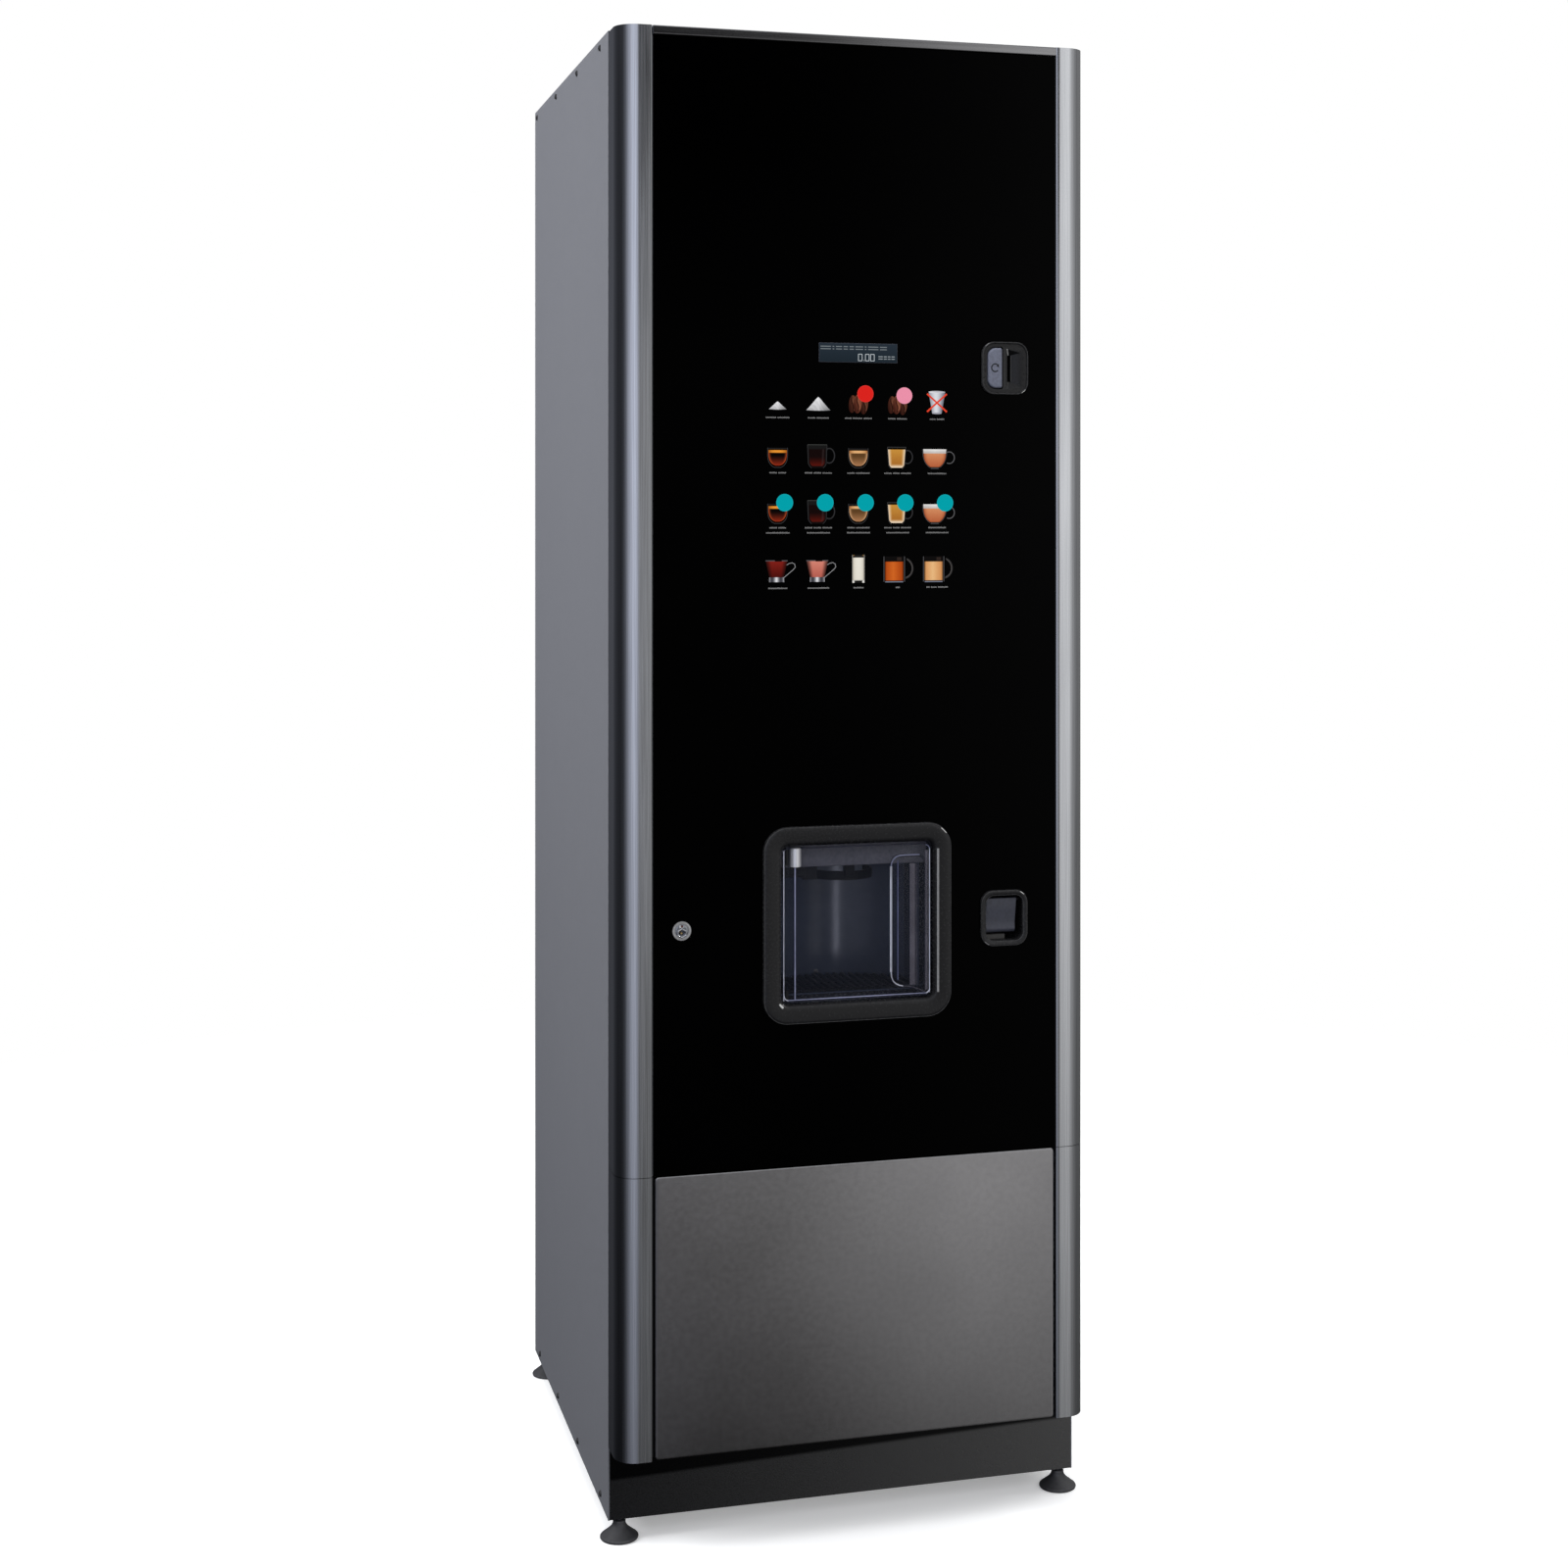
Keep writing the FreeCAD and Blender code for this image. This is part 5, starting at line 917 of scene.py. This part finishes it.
def cup_round(ink, cx, yo, band, body_top, body_low, edge):
    """Small rounded glass with a band of crema."""
    zt, zb = ZY(505 + yo), ZY(610 + yo)
    out = lambda v: 11.4 * math.sqrt(max(0.0, 1 - (max(0, v - 0.35) / 0.68) ** 2.4))
    L = [(cx - out(k / 16), zt + (zb - zt) * k / 16) for k in range(17)]
    R = [(2 * cx - x, z) for x, z in reversed(L)]
    ink.stroke(L + R, 0.55, (64, 64, 66))
    ink.bar(cx, zt - 0.9, 21.6, 1.1, (34, 34, 36))
    inn = lambda v: 10.5 * math.sqrt(max(0.0, 1 - (max(0, v - 0.12) / 0.89) ** 2.6)) + 0.15
    ink.bowl(cx, ZY(518 + yo), ZY(600 + yo), inn, lambda u, v: mix(mix(body_top, body_low, max(0.0, (v - 0.35) / 0.65)), edge, max(0.0, abs(2 * u - 1) - 0.72) / 0.28 * 0.9), 18, 26)
    ink.bowl(cx, ZY(518 + yo), ZY(532 + yo), lambda v: 10.6 - 0.1 * v, lambda u, v: mix(band, (110, 50, 10), abs(2 * u - 1) ** 3 * 0.6), 12, 2)


def ring_handle(ink, cx, cz, rx, rz, w, c_, a0=-115, a1=115):
    ink.stroke([(cx + rx * math.cos(math.radians(a)), cz + rz * math.sin(math.radians(a))) for a in range(a0, a1 + 1, 10)], w, c_)


def mug_dark(ink, cx, yo):
    zt, zb = ZY(488 + yo), ZY(612 + yo)
    hw = lambda v: 11.3 * (1 - 0.10 * v) * (1 - 0.35 * max(0.0, (v - 0.78) / 0.22) ** 2)
    L = [(cx - 1.2 - hw(k / 14), zt + (zb - zt) * k / 14) for k in range(15)]
    ring_handle(ink, cx + 12.6, ZY(546 + yo), 6.2, 8.2, 1.3, (48, 48, 50))
    ink.bowl(cx - 1.2, zt, zb, hw, lambda u, v: mix((26, 26, 26), (18, 12, 12), v), 8, 12)
    ink.bowl(cx - 1.2, ZY(512 + yo), ZY(601 + yo), lambda v: 9.6 * (1 - 0.14 * v) * (1 - 0.3 * max(0.0, (v - 0.8) / 0.2) ** 2),
             lambda u, v: mix(mix((20, 8, 8), (92, 20, 12), max(0.0, (v - 0.45) / 0.55)), (60, 50, 50), 0.5 if abs(u - 0.86) < 0.05 else 0.0), 18, 20)
    ink.stroke(L, 0.45, (62, 62, 64))
    ink.stroke([(2 * (cx - 1.2) - x, z) for x, z in L], 0.45, (58, 58, 60))
    ink.bar(cx - 1.2, zt, 22.4, 0.6, (70, 72, 70))


def mug_latte(ink, cx, yo):
    zt, zb = ZY(498 + yo), ZY(615 + yo)
    ring_handle(ink, cx + 11.6, ZY(550 + yo), 6.0, 7.4, 1.2, (52, 52, 54))
    hw = lambda v: 10.9 * (1 - 0.16 * v) * (1 - 0.30 * max(0.0, (v - 0.8) / 0.2) ** 2)
    L = [(cx - 1.0 - hw(k / 14), zt + (zb - zt) * k / 14) for k in range(15)]
    ink.stroke(L, 0.45, (70, 70, 70))
    ink.stroke([(2 * (cx - 1.0) - x, z) for x, z in L], 0.45, (60, 60, 60))
    ink.bowl(cx - 1.0, ZY(510 + yo), ZY(608 + yo), lambda v: 10.2 * (1 - 0.17 * v) * (1 - 0.28 * max(0.0, (v - 0.82) / 0.18) ** 2),
             lambda u, v: mix(mix((206, 148, 62), (168, 104, 40), v), (240, 218, 190), max((max(0.0, abs(2 * u - 1) - 0.62) / 0.38) ** 0.8, max(0.0, (v - 0.80) / 0.14))), 20, 22)
    ink.bar(cx - 1.0, zt, 21.6, 0.8, (58, 58, 58))


def cup_foam(ink, cx, yo):
    ring_handle(ink, cx + 14.6, ZY(552 + yo), 6.2, 6.6, 1.0, (96, 96, 98))
    ink.bar(cx - 2.6, ZY(610 + yo), 9.5, 1.6, (66, 66, 68))
    hw = lambda v: 13.9 * math.sqrt(max(0.0, 1 - (max(0.0, v) ** 2.3) * 0.86))
    zt, zb = ZY(508 + yo), ZY(606 + yo)
    L = [(cx - 2.6 - hw(k / 16) - 0.5, zt + (zb - zt) * k / 16) for k in range(17)]
    ink.stroke(L, 0.5, (84, 84, 86))
    ink.stroke([(2 * (cx - 2.6) - x, z) for x, z in L], 0.5, (70, 70, 72))
    ink.bowl(cx - 2.6, ZY(524 + yo), ZY(603 + yo), lambda v: 13.3 * math.sqrt(max(0.0, 1 - v ** 2.3 * 0.84)),
             lambda u, v: mix(mix((222, 150, 104), (186, 98, 60), v), (150, 70, 40), (max(0.0, abs(2 * u - 1) - 0.6) / 0.4) ** 2 * 0.8), 20, 20)
    ink.bowl(cx - 2.6, ZY(507 + yo), ZY(530 + yo), lambda v: 13.6 - 0.25 * v, lambda u, v: mix((244, 244, 242), (196, 190, 186), v + 0.3 * abs(2 * u - 1)), 16, 4)


def cup_metal(ink, cx, liquid, low):
    c0 = cx - 1.2
    zt = ZY(1105)
    ink.stroke([(cx + 10.2, ZY(1128)), (cx + 13.5, ZY(1119)), (cx + 17.0, ZY(1116)), (cx + 19.6, ZY(1124)), (cx + 20.2, ZY(1140)), (cx + 18.0, ZY(1152)), (cx + 12.5, ZY(1174)), (cx + 7.0, ZY(1195))], 0.75, (150, 150, 152))
    ink.bowl(c0, zt, ZY(1193), lambda v: 12.5 * (1 - 0.33 * v), lambda u, v: mix(mix(liquid, low, v), (14, 6, 6), (max(0.0, abs(2 * u - 1) - 0.55) / 0.45) * 0.75), 20, 14)
    ink.bar(c0, zt, 25.2, 1.1, (84, 84, 88))
    ink.bar(c0 + 2, zt - 0.2, 8.0, 1.5, (18, 12, 12))
    ink.bowl(c0, ZY(1193), ZY(1218), lambda v: 8.4 + 0.2 * v, lambda u, v: mix((235, 235, 238), (60, 60, 66), abs(math.sin(5.2 * u + 0.6)) ** 1.4), 24, 4)


def glass_milk(ink, cx):
    ink.bar(cx, ZY(1150), 14.0, (1225 - 1075) * 0.2095, (26, 25, 24))
    ink.bowl(cx, ZY(1090), ZY(1209), lambda v: 6.3, lambda u, v: mix((240, 235, 222), (196, 188, 172), (abs(2 * u - 1) ** 3) * 0.8 + 0.1 * v), 14, 10)
    for s in (-1, 1):
        ink.bar(cx + s * 6.9, ZY(1150), 0.5, 31.0, (176, 172, 164))
    ink.bar(cx, ZY(1211), 13.0, 0.6, (220, 216, 206))
    for s in (-1, 1):
        ink.bar(cx + s * 5.7, ZY(1219), 2.2, 2.4, (228, 226, 220))
    ink.bar(cx - 5.5, ZY(1078), 1.8, 1.2, (120, 92, 50))
    ink.bar(cx + 5.5, ZY(1078), 1.8, 1.2, (120, 92, 50))


def mug_tea(ink, cx, c_, lit):
    ring_handle(ink, cx + 7.4, ZY(1149), 10.6, 11.3, 1.5, (58, 56, 56), -78, 78)
    ring_handle(ink, cx + 7.4, ZY(1149), 9.7, 10.4, 0.4, (96, 92, 90), -74, 74)
    ink.bar(cx - 3.9, ZY(1153), 24.4, (1222 - 1085) * 0.2095, (14, 12, 12))
    ink.bar(cx - 3.9, ZY(1221), 21.0, 1.2, (118, 124, 140))
    ink.bowl(cx - 3.9, ZY(1113), ZY(1214), lambda v: 11.0, lambda u, v: mix(mix(lit, c_, min(1.0, abs(2 * u - 0.9) * 1.1)), mix(c_, (0, 0, 0), 0.55), (max(0.0, abs(2 * u - 1) - 0.82) / 0.18)), 22, 8)
    for s in (-1, 1):
        ink.bar(cx - 3.9 + s * 12.1, ZY(1153), 0.6, 28.5, (92, 92, 96))
    ink.bar(cx + 2.0, ZY(1098), 5.2, 3.6, (46, 36, 32))


ink = Ink()
heap(ink, COLS[0], ZY(301), 10.2, 7.8)
heap(ink, COLS[1], ZY(304), 13.9, 13.4)
ink.done("menu_sugar_heaps")
ink = Ink()
beans(ink, COLS[2], ZY(270))
badge(ink, COLS[2] + 8.2, ZY(213), 9.5, (226, 36, 30))
ink.layer = 0
beans(ink, COLS[3], ZY(272))
badge(ink, COLS[3] + 8.0, ZY(220), 9.3, (244, 150, 176))
ink.layer = 0
ink.bowl(COLS[4], ZY(196), ZY(314), lambda v: 9.9 - 4.3 * v, lambda u, v: mix((226, 228, 234), (120, 122, 134), (abs(2 * u - 0.86) ** 1.6) * 0.9), 16, 10)
ink.ellipse(COLS[4], ZY(198), 9.9, 1.3, (236, 236, 240), (170, 170, 178))
ink.ellipse(COLS[4], ZY(313), 5.6, 0.9, (176, 178, 188), (150, 150, 160))
ink.stroke([(COLS[4] - 11.7, ZY(208)), (COLS[4], ZY(256)), (COLS[4] + 11.7, ZY(305))], 2.0, (232, 68, 44))
ink.stroke([(COLS[4] - 11.7, ZY(305)), (COLS[4], ZY(256)), (COLS[4] + 11.7, ZY(208))], 2.0, (232, 68, 44))
ink.done("menu_options")
for row, yo in (("plain", 0), ("second", 297)):
    ink = Ink()
    cup_round(ink, COLS[0], yo, (238, 152, 50), (8, 4, 4), (150, 44, 22), (190, 80, 40))
    ink.layer = 0
    mug_dark(ink, COLS[1], yo)
    ink.layer = 0
    cup_round(ink, COLS[2], yo, (236, 182, 122), (96, 66, 36), (176, 124, 84), (226, 176, 130))
    ink.layer = 0
    mug_latte(ink, COLS[3], yo)
    ink.layer = 0
    cup_foam(ink, COLS[4], yo)
    ink.done("menu_cups_" + row)
ink = Ink()
for cx in (-86.3, -39.6, 7.3, 54.0, 101.1):
    ink.layer = 12
    badge(ink, cx, 1156.4, 9.7, (0, 166, 176))
ink.done("menu_badges")
ink = Ink()
cup_metal(ink, COLS[0], (136, 34, 26), (78, 16, 12))
ink.layer = 0
cup_metal(ink, COLS[1], (222, 138, 120), (186, 96, 82))
ink.layer = 0
glass_milk(ink, COLS[2])
ink.layer = 0
mug_tea(ink, COLS[3], (176, 70, 18), (214, 104, 36))
ink.layer = 0
mug_tea(ink, COLS[4], (214, 148, 90), (240, 190, 132))
ink.done("menu_hot_drinks")
ink = Ink()
for cx, words in zip(COLS, ((12, 14), (9, 14), (8, 11, 10), (9, 12), (7, 9))):
    caption(ink, cx, 1251.0, words)
for cx, words in zip(COLS, ((9, 9), (9, 9, 11), (9, 16), (9, 8, 12), (22,))):
    caption(ink, cx, 1189.6, words)
for cx, words in zip(COLS, ((9, 9), (9, 9, 11), (9, 16), (9, 8, 12), (21,))):
    caption(ink, cx, 1128.4, words)
for cx in COLS:
    caption(ink, cx, 1122.8, (27,))
for cx, words in zip(COLS, ((22,), (25,), (12,), (5,), (4, 7, 12))):
    caption(ink, cx, 1061.2, words)
ink.done("menu_caption_ticks")

# display window: slate panel, a row of ticks and plain digits
slab("display_window", (-46.8, 44.6), (-306.7, -306.45), (1313.6, 1335.2), M_SLATE, "door", bevel=0.05, slot="slate_plastic")
ink = Ink()
ink.layer = 10
ink.grid(lambda u, v: (-46.4 + 90.6 * u, 1314.0 + 20.8 * v, mix((30, 40, 48), (40, 50, 60), v)), 2, 2)
DIG = {"0": "abcdef", ".": "", "5": "acdfg", "8": "abcdefg"}
SEG = {"a": ((0, 2), (1, 2)), "b": ((1, 1), (1, 2)), "c": ((1, 0), (1, 1)), "d": ((0, 0), (1, 0)), "e": ((0, 0), (0, 1)), "f": ((0, 1), (0, 2)), "g": ((0, 1), (1, 1))}


def digits(ink, text, x, z, w, d, colour):
    for ch in text:
        if ch == ".":
            ink.bar(x + 0.6, z + 0.35, 0.8, 0.8, colour)
            ink.layer -= 1
            x += 2.2
            continue
        for s in DIG[ch]:
            (xa, za), (xb, zb) = SEG[s]
            ink.stroke([(x + xa * w, z + za * d / 2), (x + xb * w, z + zb * d / 2)], 0.7, colour)
            ink.layer -= 1
        x += w + 1.7
    ink.layer += 1


digits(ink, "0.00", -1.0, 1315.6, 4.3, 7.4, (196, 204, 208))
for x, w in ((22.4, 5.0), (28.6, 3.6), (33.4, 3.0), (37.6, 3.8)):
    for dz in (1318.0, 1320.6):
        ink.bar(x + w / 2, dz, w, 1.0, (150, 158, 162))
        ink.layer -= 1
x = -45.0
for w in (12, 2, 7, 5, 5, 9, 2, 12, 8):
    for dz in (1328.4, 1331.2):
        ink.bar(x + w / 2, dz, w, 0.9, (128, 136, 140))
        ink.layer -= 1
    x += w + 1.9
ink.done("display_digits")

# ------------------------------------------------------------------ inside the machine
def tapered_stack(name, cx, cy, z0, count, pitch, body, r_top=35.0, r_low=23.5, height=70.0):
    """Nested paper cups standing upright: rolled rims one above another over the lowest wall."""
    bm = bmesh.new()
    prof = [(0.001, 3.0), (r_low - 1.5, 3.0), (r_low - 0.8, 0.0), (r_low, 0.0)]
    for i in range(count):
        zr = height + i * pitch
        k = (zr - 4.0) if i else height - 4.0
        rim_in = r_top - 0.6 if i else r_top - 0.4
        prof += [(rim_in, k + 0.4), (r_top + 0.9, k + 0.9), (r_top + 1.5, k + 2.0), (r_top + 1.2, k + 3.2), (r_top, k + 3.6)]
    top = prof[-1][1]
    prof += [(r_top - 1.4, top - 0.6), (r_low + 2.5, top - height + 8.0), (0.001, top - height + 8.0)]
    loft(bm, lathe_loops(prof, cx, cy, 40, "z", z0), cap0=True, cap1=True)
    return finish_mesh(name, bm, M_CUP, body, slot="white_plastic", sharp=0.5)


M_CUP = surface("paper_cup", srgb(226, 222, 214), 0.62, 0.0, 0.04, (140, 140, 30), (1100, 1100, 1100), 0.2, 0.06, 0.1, spec=0.3)
M_BEAN = surface("roasted_bean", srgb(70, 38, 22), 0.32, 0.0, 0.30, (160, 160, 160), (900, 900, 900), 0.25, 0.1, 0.2, wear_rgb=srgb(120, 76, 48), spec=0.6)


# cups waiting in the five tubes of the turret
for i in range(5):
    a = math.radians(-45 + 72 * i)
    tapered_stack("cup_stack_" + "abcde"[i], -105 + 75 * math.cos(a), -72 + 75 * math.sin(a), 1254.0, 22 + (i * 3) % 7, 7.0, "turret", r_top=35.0)

# roasted beans heaped in the hopper
bm = bmesh.new()
for k in range(150):
    lvl = k // 75
    cx, cy = 4 + 112 * rng.random(), 76 + 178 * rng.random()
    cz = 1570 + 9 * lvl + 3 * rng.random()
    yaw, tip = rng.random() * math.tau, (rng.random() - 0.5) * 1.2
    rot = Matrix.Rotation(yaw, 4, "Z") @ Matrix.Rotation(tip, 4, "X")
    n1, n2 = 12, 7
    rings = []
    for j in range(n2 + 1):
        t = math.pi * j / n2
        lp = []
        for i in range(n1):
            a = math.tau * i / n1
            x, y, z = 6.0 * math.cos(t), 4.2 * math.sin(t) * math.cos(a), 3.0 * math.sin(t) * math.sin(a)
            if z > 0 and abs(y) < 1.6:
                z -= 0.9 * (1 - abs(y) / 1.6)
            v = rot @ Vector((x, y, z))
            lp.append((cx + v.x, cy + v.y, cz + v.z))
        rings.append(lp)
    loft(bm, rings)
me_bean = finish_mesh("bean_top_layer", bm, M_BEAN, "cabinet", slot="smoke_plastic", sharp=1.2)
bm = bmesh.new()
loft(bm, [[(x, y, z) for x, y in ((-6 + dx, 64 + dy), (126 - dx, 64 + dy), (126 - dx, 266 - dy), (-6 + dx, 266 - dy))] for dx, dy, z in ((0, 0, 1486), (0, 0, 1570), (6, 8, 1573))], cap0=True, cap1=True)
finish_mesh("bean_bulk", bm, M_BEAN, "cabinet", slot="smoke_plastic", sharp=0.5, bevel=3.0)

# wiring from the control box to the display and the coin mechanism, clipped inside the cabinet
tube("loom_to_pump", [(222, -30, 900), (226, -34, 860), (222, 0, 760), (205, 30, 700), (196, 40, 686)], 3.2, M_BLACK2, "cabinet", slot="black_plastic")
tube("loom_across", [(214, 180, 1200), (170, 262, 1190), (40, 284, 1170), (-120, 284, 1150), (-210, 282, 1120)], 3.6, M_BLACK2, "cabinet", slot="black_plastic")

# ------------------------------------------------------------------ floor, room and light
scene = bpy.context.scene


def stage_mesh(name, verts, faces):
    me = bpy.data.meshes.new(name)
    me.from_pydata(verts, [], faces)
    o = bpy.data.objects.new(name, me)
    scene.collection.objects.link(o)
    return o


floor_obj = stage_mesh("studio_floor", [(-14, -12, 0), (14, -12, 0), (14, 16, 0), (-14, 16, 0)], [(0, 1, 2, 3)])
t = Tree("studio_floor")
n = t.noise(t.scaled(3, 3, 3), 1.0, 3.0)
# the floor melts into the white room a little way out from the object
ln = t.add("ShaderNodeVectorMath", operation="LENGTH")
t.link(t.co, ln.inputs[0])
far = t.remap(ln.outputs["Value"], 0.0, 1.0, 0.75, 2.6)
near_col = t.mixc(t.remap(n, 0.0, 1.0), (0.90, 0.90, 0.90), (0.93, 0.93, 0.93))
t.link(t.mixc(far, near_col, (0.0, 0.0, 0.0)), t.p.inputs["Base Color"])
t.p.inputs["Roughness"].default_value = 0.9
t.p.inputs["Specular IOR Level"].default_value = 0.0
t.p.inputs["Emission Color"].default_value = (1, 1, 1, 1)
t.link(t.remap(ln.outputs["Value"], 0.30, 1.0, 0.75, 2.6), t.p.inputs["Emission Strength"])
floor_obj.data.materials.append(t.m)
floor_obj.visible_glossy = False
floor_obj.visible_diffuse = False

world = bpy.data.worlds.new("studio")
scene.world = world
world.use_nodes = True
wt = world.node_tree
wt.nodes.clear()


def wn(kind, **kw):
    x = wt.nodes.new(kind)
    for k, v in kw.items():
        setattr(x, k, v)
    return x


def wm(op, a, b=0.0):
    x = wn("ShaderNodeMath", operation=op)
    for sock, v in ((x.inputs[0], a), (x.inputs[1], b)):
        if hasattr(v, "is_output"):
            wt.links.new(v, sock)
        else:
            sock.default_value = v
    return x.outputs[0]


w_out = wn("ShaderNodeOutputWorld")
w_co = wn("ShaderNodeTexCoord")
w_sep = wn("ShaderNodeSeparateXYZ")
wt.links.new(w_co.outputs["Generated"], w_sep.inputs[0])
az = wm("ARCTAN2", w_sep.outputs[0], wm("MULTIPLY", w_sep.outputs[1], -1.0))
pos = wm("ADD", wm("DIVIDE", az, math.tau), 0.5)
ramp = wn("ShaderNodeValToRGB")
wt.links.new(pos, ramp.inputs[0])
stops = [(-180, 0.10), (-158, 0.095), (-134, 0.06), (-110, 0.036), (-86, 0.037), (-74, 0.064), (-62, 0.156), (-49, 0.437), (-37, 0.677), (-25, 0.90), (-13, 0.93), (-1, 0.70),
         (8, 0.32), (12, 0.345), (15.5, 0.51), (18, 0.86), (21, 1.26), (28, 1.18), (33, 0.93), (45, 0.60), (57, 0.48), (69, 0.35), (81, 0.27), (110, 0.27), (150, 0.16), (180, 0.10)]
el = ramp.color_ramp.elements
while len(el) > 1:
    el.remove(el[0])
for k, (deg, v) in enumerate(stops):
    q = (deg + 180) / 360
    e = el[0] if k == 0 else el.new(q)
    e.position = q
    e.color = (v * 0.93, v * 0.97, v * 1.12, 1) if deg < 5 else (v, v * 0.995, v * 0.99, 1)
up = wm("MAXIMUM", wm("SUBTRACT", w_sep.outputs[2], 0.20), 0.0)
blend = wm("POWER", up, 1.3)
mixn = wn("ShaderNodeMix", data_type="RGBA")
wt.links.new(wm("MINIMUM", wm("MULTIPLY", blend, 1.5), 1.0), mixn.inputs[0])


def w_map(v, a, b, lo_, hi_):
    x = wn("ShaderNodeMapRange")
    for k_, val in (("From Min", a), ("From Max", b), ("To Min", lo_), ("To Max", hi_)):
        x.inputs[k_].default_value = val
    wt.links.new(v, x.inputs["Value"])
    return x.outputs[0]


# a dark reach of the room just above the horizon, mirrored by the left end of the top rail
dark = wm("MULTIPLY", w_map(w_sep.outputs[2], 0.07, 0.16, 0.0, 1.0), wm("MULTIPLY", w_map(az, math.radians(12.5), math.radians(20.5), 1.0, 0.0), w_map(az, math.radians(1), math.radians(6), 0.0, 1.0)))
shade = wn("ShaderNodeMix", data_type="RGBA")
wt.links.new(wm("MULTIPLY", dark, 0.95), shade.inputs[0])
wt.links.new(ramp.outputs[0], shade.inputs[6])
shade.inputs[7].default_value = (0.004, 0.004, 0.005, 1)
wt.links.new(shade.outputs[2], mixn.inputs[6])
mixn.inputs[7].default_value = (0.55, 0.56, 0.58, 1)
bg_room, bg_cam = wn("ShaderNodeBackground"), wn("ShaderNodeBackground")
wt.links.new(mixn.outputs[2], bg_room.inputs[0])
down = wm("MAXIMUM", wm("MULTIPLY", w_sep.outputs[2], -1.0), 0.0)
wt.links.new(wm("MAXIMUM", wm("SUBTRACT", 1.0, wm("MULTIPLY", down, 1.9)), 0.06), bg_room.inputs[1])
bg_cam.inputs[0].default_value = (1, 1, 1, 1)
lp = wn("ShaderNodeLightPath")
ms = wn("ShaderNodeMixShader")
wt.links.new(lp.outputs["Is Camera Ray"], ms.inputs[0])
wt.links.new(bg_room.outputs[0], ms.inputs[1])
wt.links.new(bg_cam.outputs[0], ms.inputs[2])
wt.links.new(ms.outputs[0], w_out.inputs[0])


def softbox(name, loc, aim, size, power, tint=(1, 1, 1), glossy=False):
    li = bpy.data.lights.new(name, "AREA")
    li.shape = "RECTANGLE"
    li.size, li.size_y = size
    li.energy = power
    li.color = tint
    o = bpy.data.objects.new(name, li)
    scene.collection.objects.link(o)
    o.location = loc
    o.rotation_euler = (Vector(aim) - Vector(loc)).to_track_quat("-Z", "Y").to_euler()
    o.visible_glossy = glossy
    return o


softbox("light_left", (-2.5, -0.1, 2.0), (-0.2, 0, 1.1), (1.6, 1.8), 82, (0.97, 0.98, 1.0))
softbox("light_top", (0.2, -0.4, 3.8), (0, 0, 0.6), (3.0, 3.0), 60)
softbox("light_front", (0.9, -3.2, 2.2), (0, -0.3, 0.8), (1.4, 1.8), 14)
softbox("light_right", (2.6, 0.3, 2.0), (0.2, 0, 1.0), (1.6, 1.8), 30)
softbox("light_back", (0.3, 3.2, 2.4), (0, 0.2, 1.0), (1.8, 1.6), 34)

# a narrow light that only the glossy wall of the cup station mirrors
strip = softbox("light_wall_strip", (-0.024, -1.356, 0.37), (0.0146, -0.157, 0.62), (0.10, 1.15), 1.75, (0.80, 0.83, 1.0), glossy=True)
only = bpy.data.collections.new("station_wall_only")
only.objects.link(NODES["cup_station"])
strip.light_linking.receiver_collection = only
strip.light_linking.blocker_collection = only


def glint(name, loc, aim, watts, names):
    """A small lamp seen only by the named mouldings, for the bright corner of a rounded rim."""
    lamp = softbox(name, loc, aim, (0.42, 0.42), watts, (1.0, 1.0, 1.0), glossy=True)
    coll = bpy.data.collections.new(name + "_sees")
    for o in list(bpy.data.objects):
        if o.name in names:
            coll.objects.link(o)
    lamp.light_linking.receiver_collection = coll


glint("light_glint_right", (2.7, -1.0, 2.3), (0.1, -0.3, 0.7), 46, ("hatch_surround", "return_surround", "lock_ring_trim", "lock_key_tube"))
glint("light_glint_left", (-0.89, -1.42, 3.9), (0.17, -0.31, 1.31), 9, ("coin_surround", "coin_key_cap"))

# a lamp that only reaches the works inside, for when the door stands open
inside = softbox("light_inside", (-0.9, -2.6, 1.6), (0.0, 0.0, 0.9), (1.4, 1.8), 70, (1.0, 0.99, 0.97))
parts = bpy.data.collections.new("works_inside")
OUTSIDE = ("side_panel_left", "side_panel_right", "top_panel", "back_panel", "kick_plate", "base_pan", "panel_screws", "cup_station", "nozzle_block", "drip_grille",
           "lock_cylinder", "lock_housing", "cup_chute")
for o in list(bpy.data.objects):
    if (o.name in CARRY and o.name not in OUTSIDE) or o.name.startswith(("cup_stack", "bean_", "loom_")):
        parts.objects.link(o)
inside.light_linking.receiver_collection = parts

# ------------------------------------------------------------------ camera
cam = bpy.data.cameras.new("camera")
cam.sensor_width = 36
cam.lens = 54.24
cam.clip_start = 0.02
cam_obj = bpy.data.objects.new("camera", cam)
scene.collection.objects.link(cam_obj)
cam_obj.location = (-0.7349, -2.8517, 1.141)
cam_obj.rotation_euler = (math.radians(90), 0, math.radians(-15.47))
scene.camera = cam_obj
for prop, amount in (("shift_x", -0.03125), ("shift_y", -0.1706)):
    dr = cam.driver_add(prop).driver
    dr.type = "SCRIPTED"
    v = dr.variables.new()
    v.name = "x"
    v.type = "TRANSFORMS"
    v.targets[0].id = cam_obj
    v.targets[0].transform_type = "LOC_X"
    v.targets[0].transform_space = "WORLD_SPACE"
    dr.expression = "%g if abs(x + 0.7349) < 0.002 else 0" % amount

scene.view_settings.view_transform = "Standard"
scene.view_settings.look = "None"
scene.view_settings.exposure = 0.0
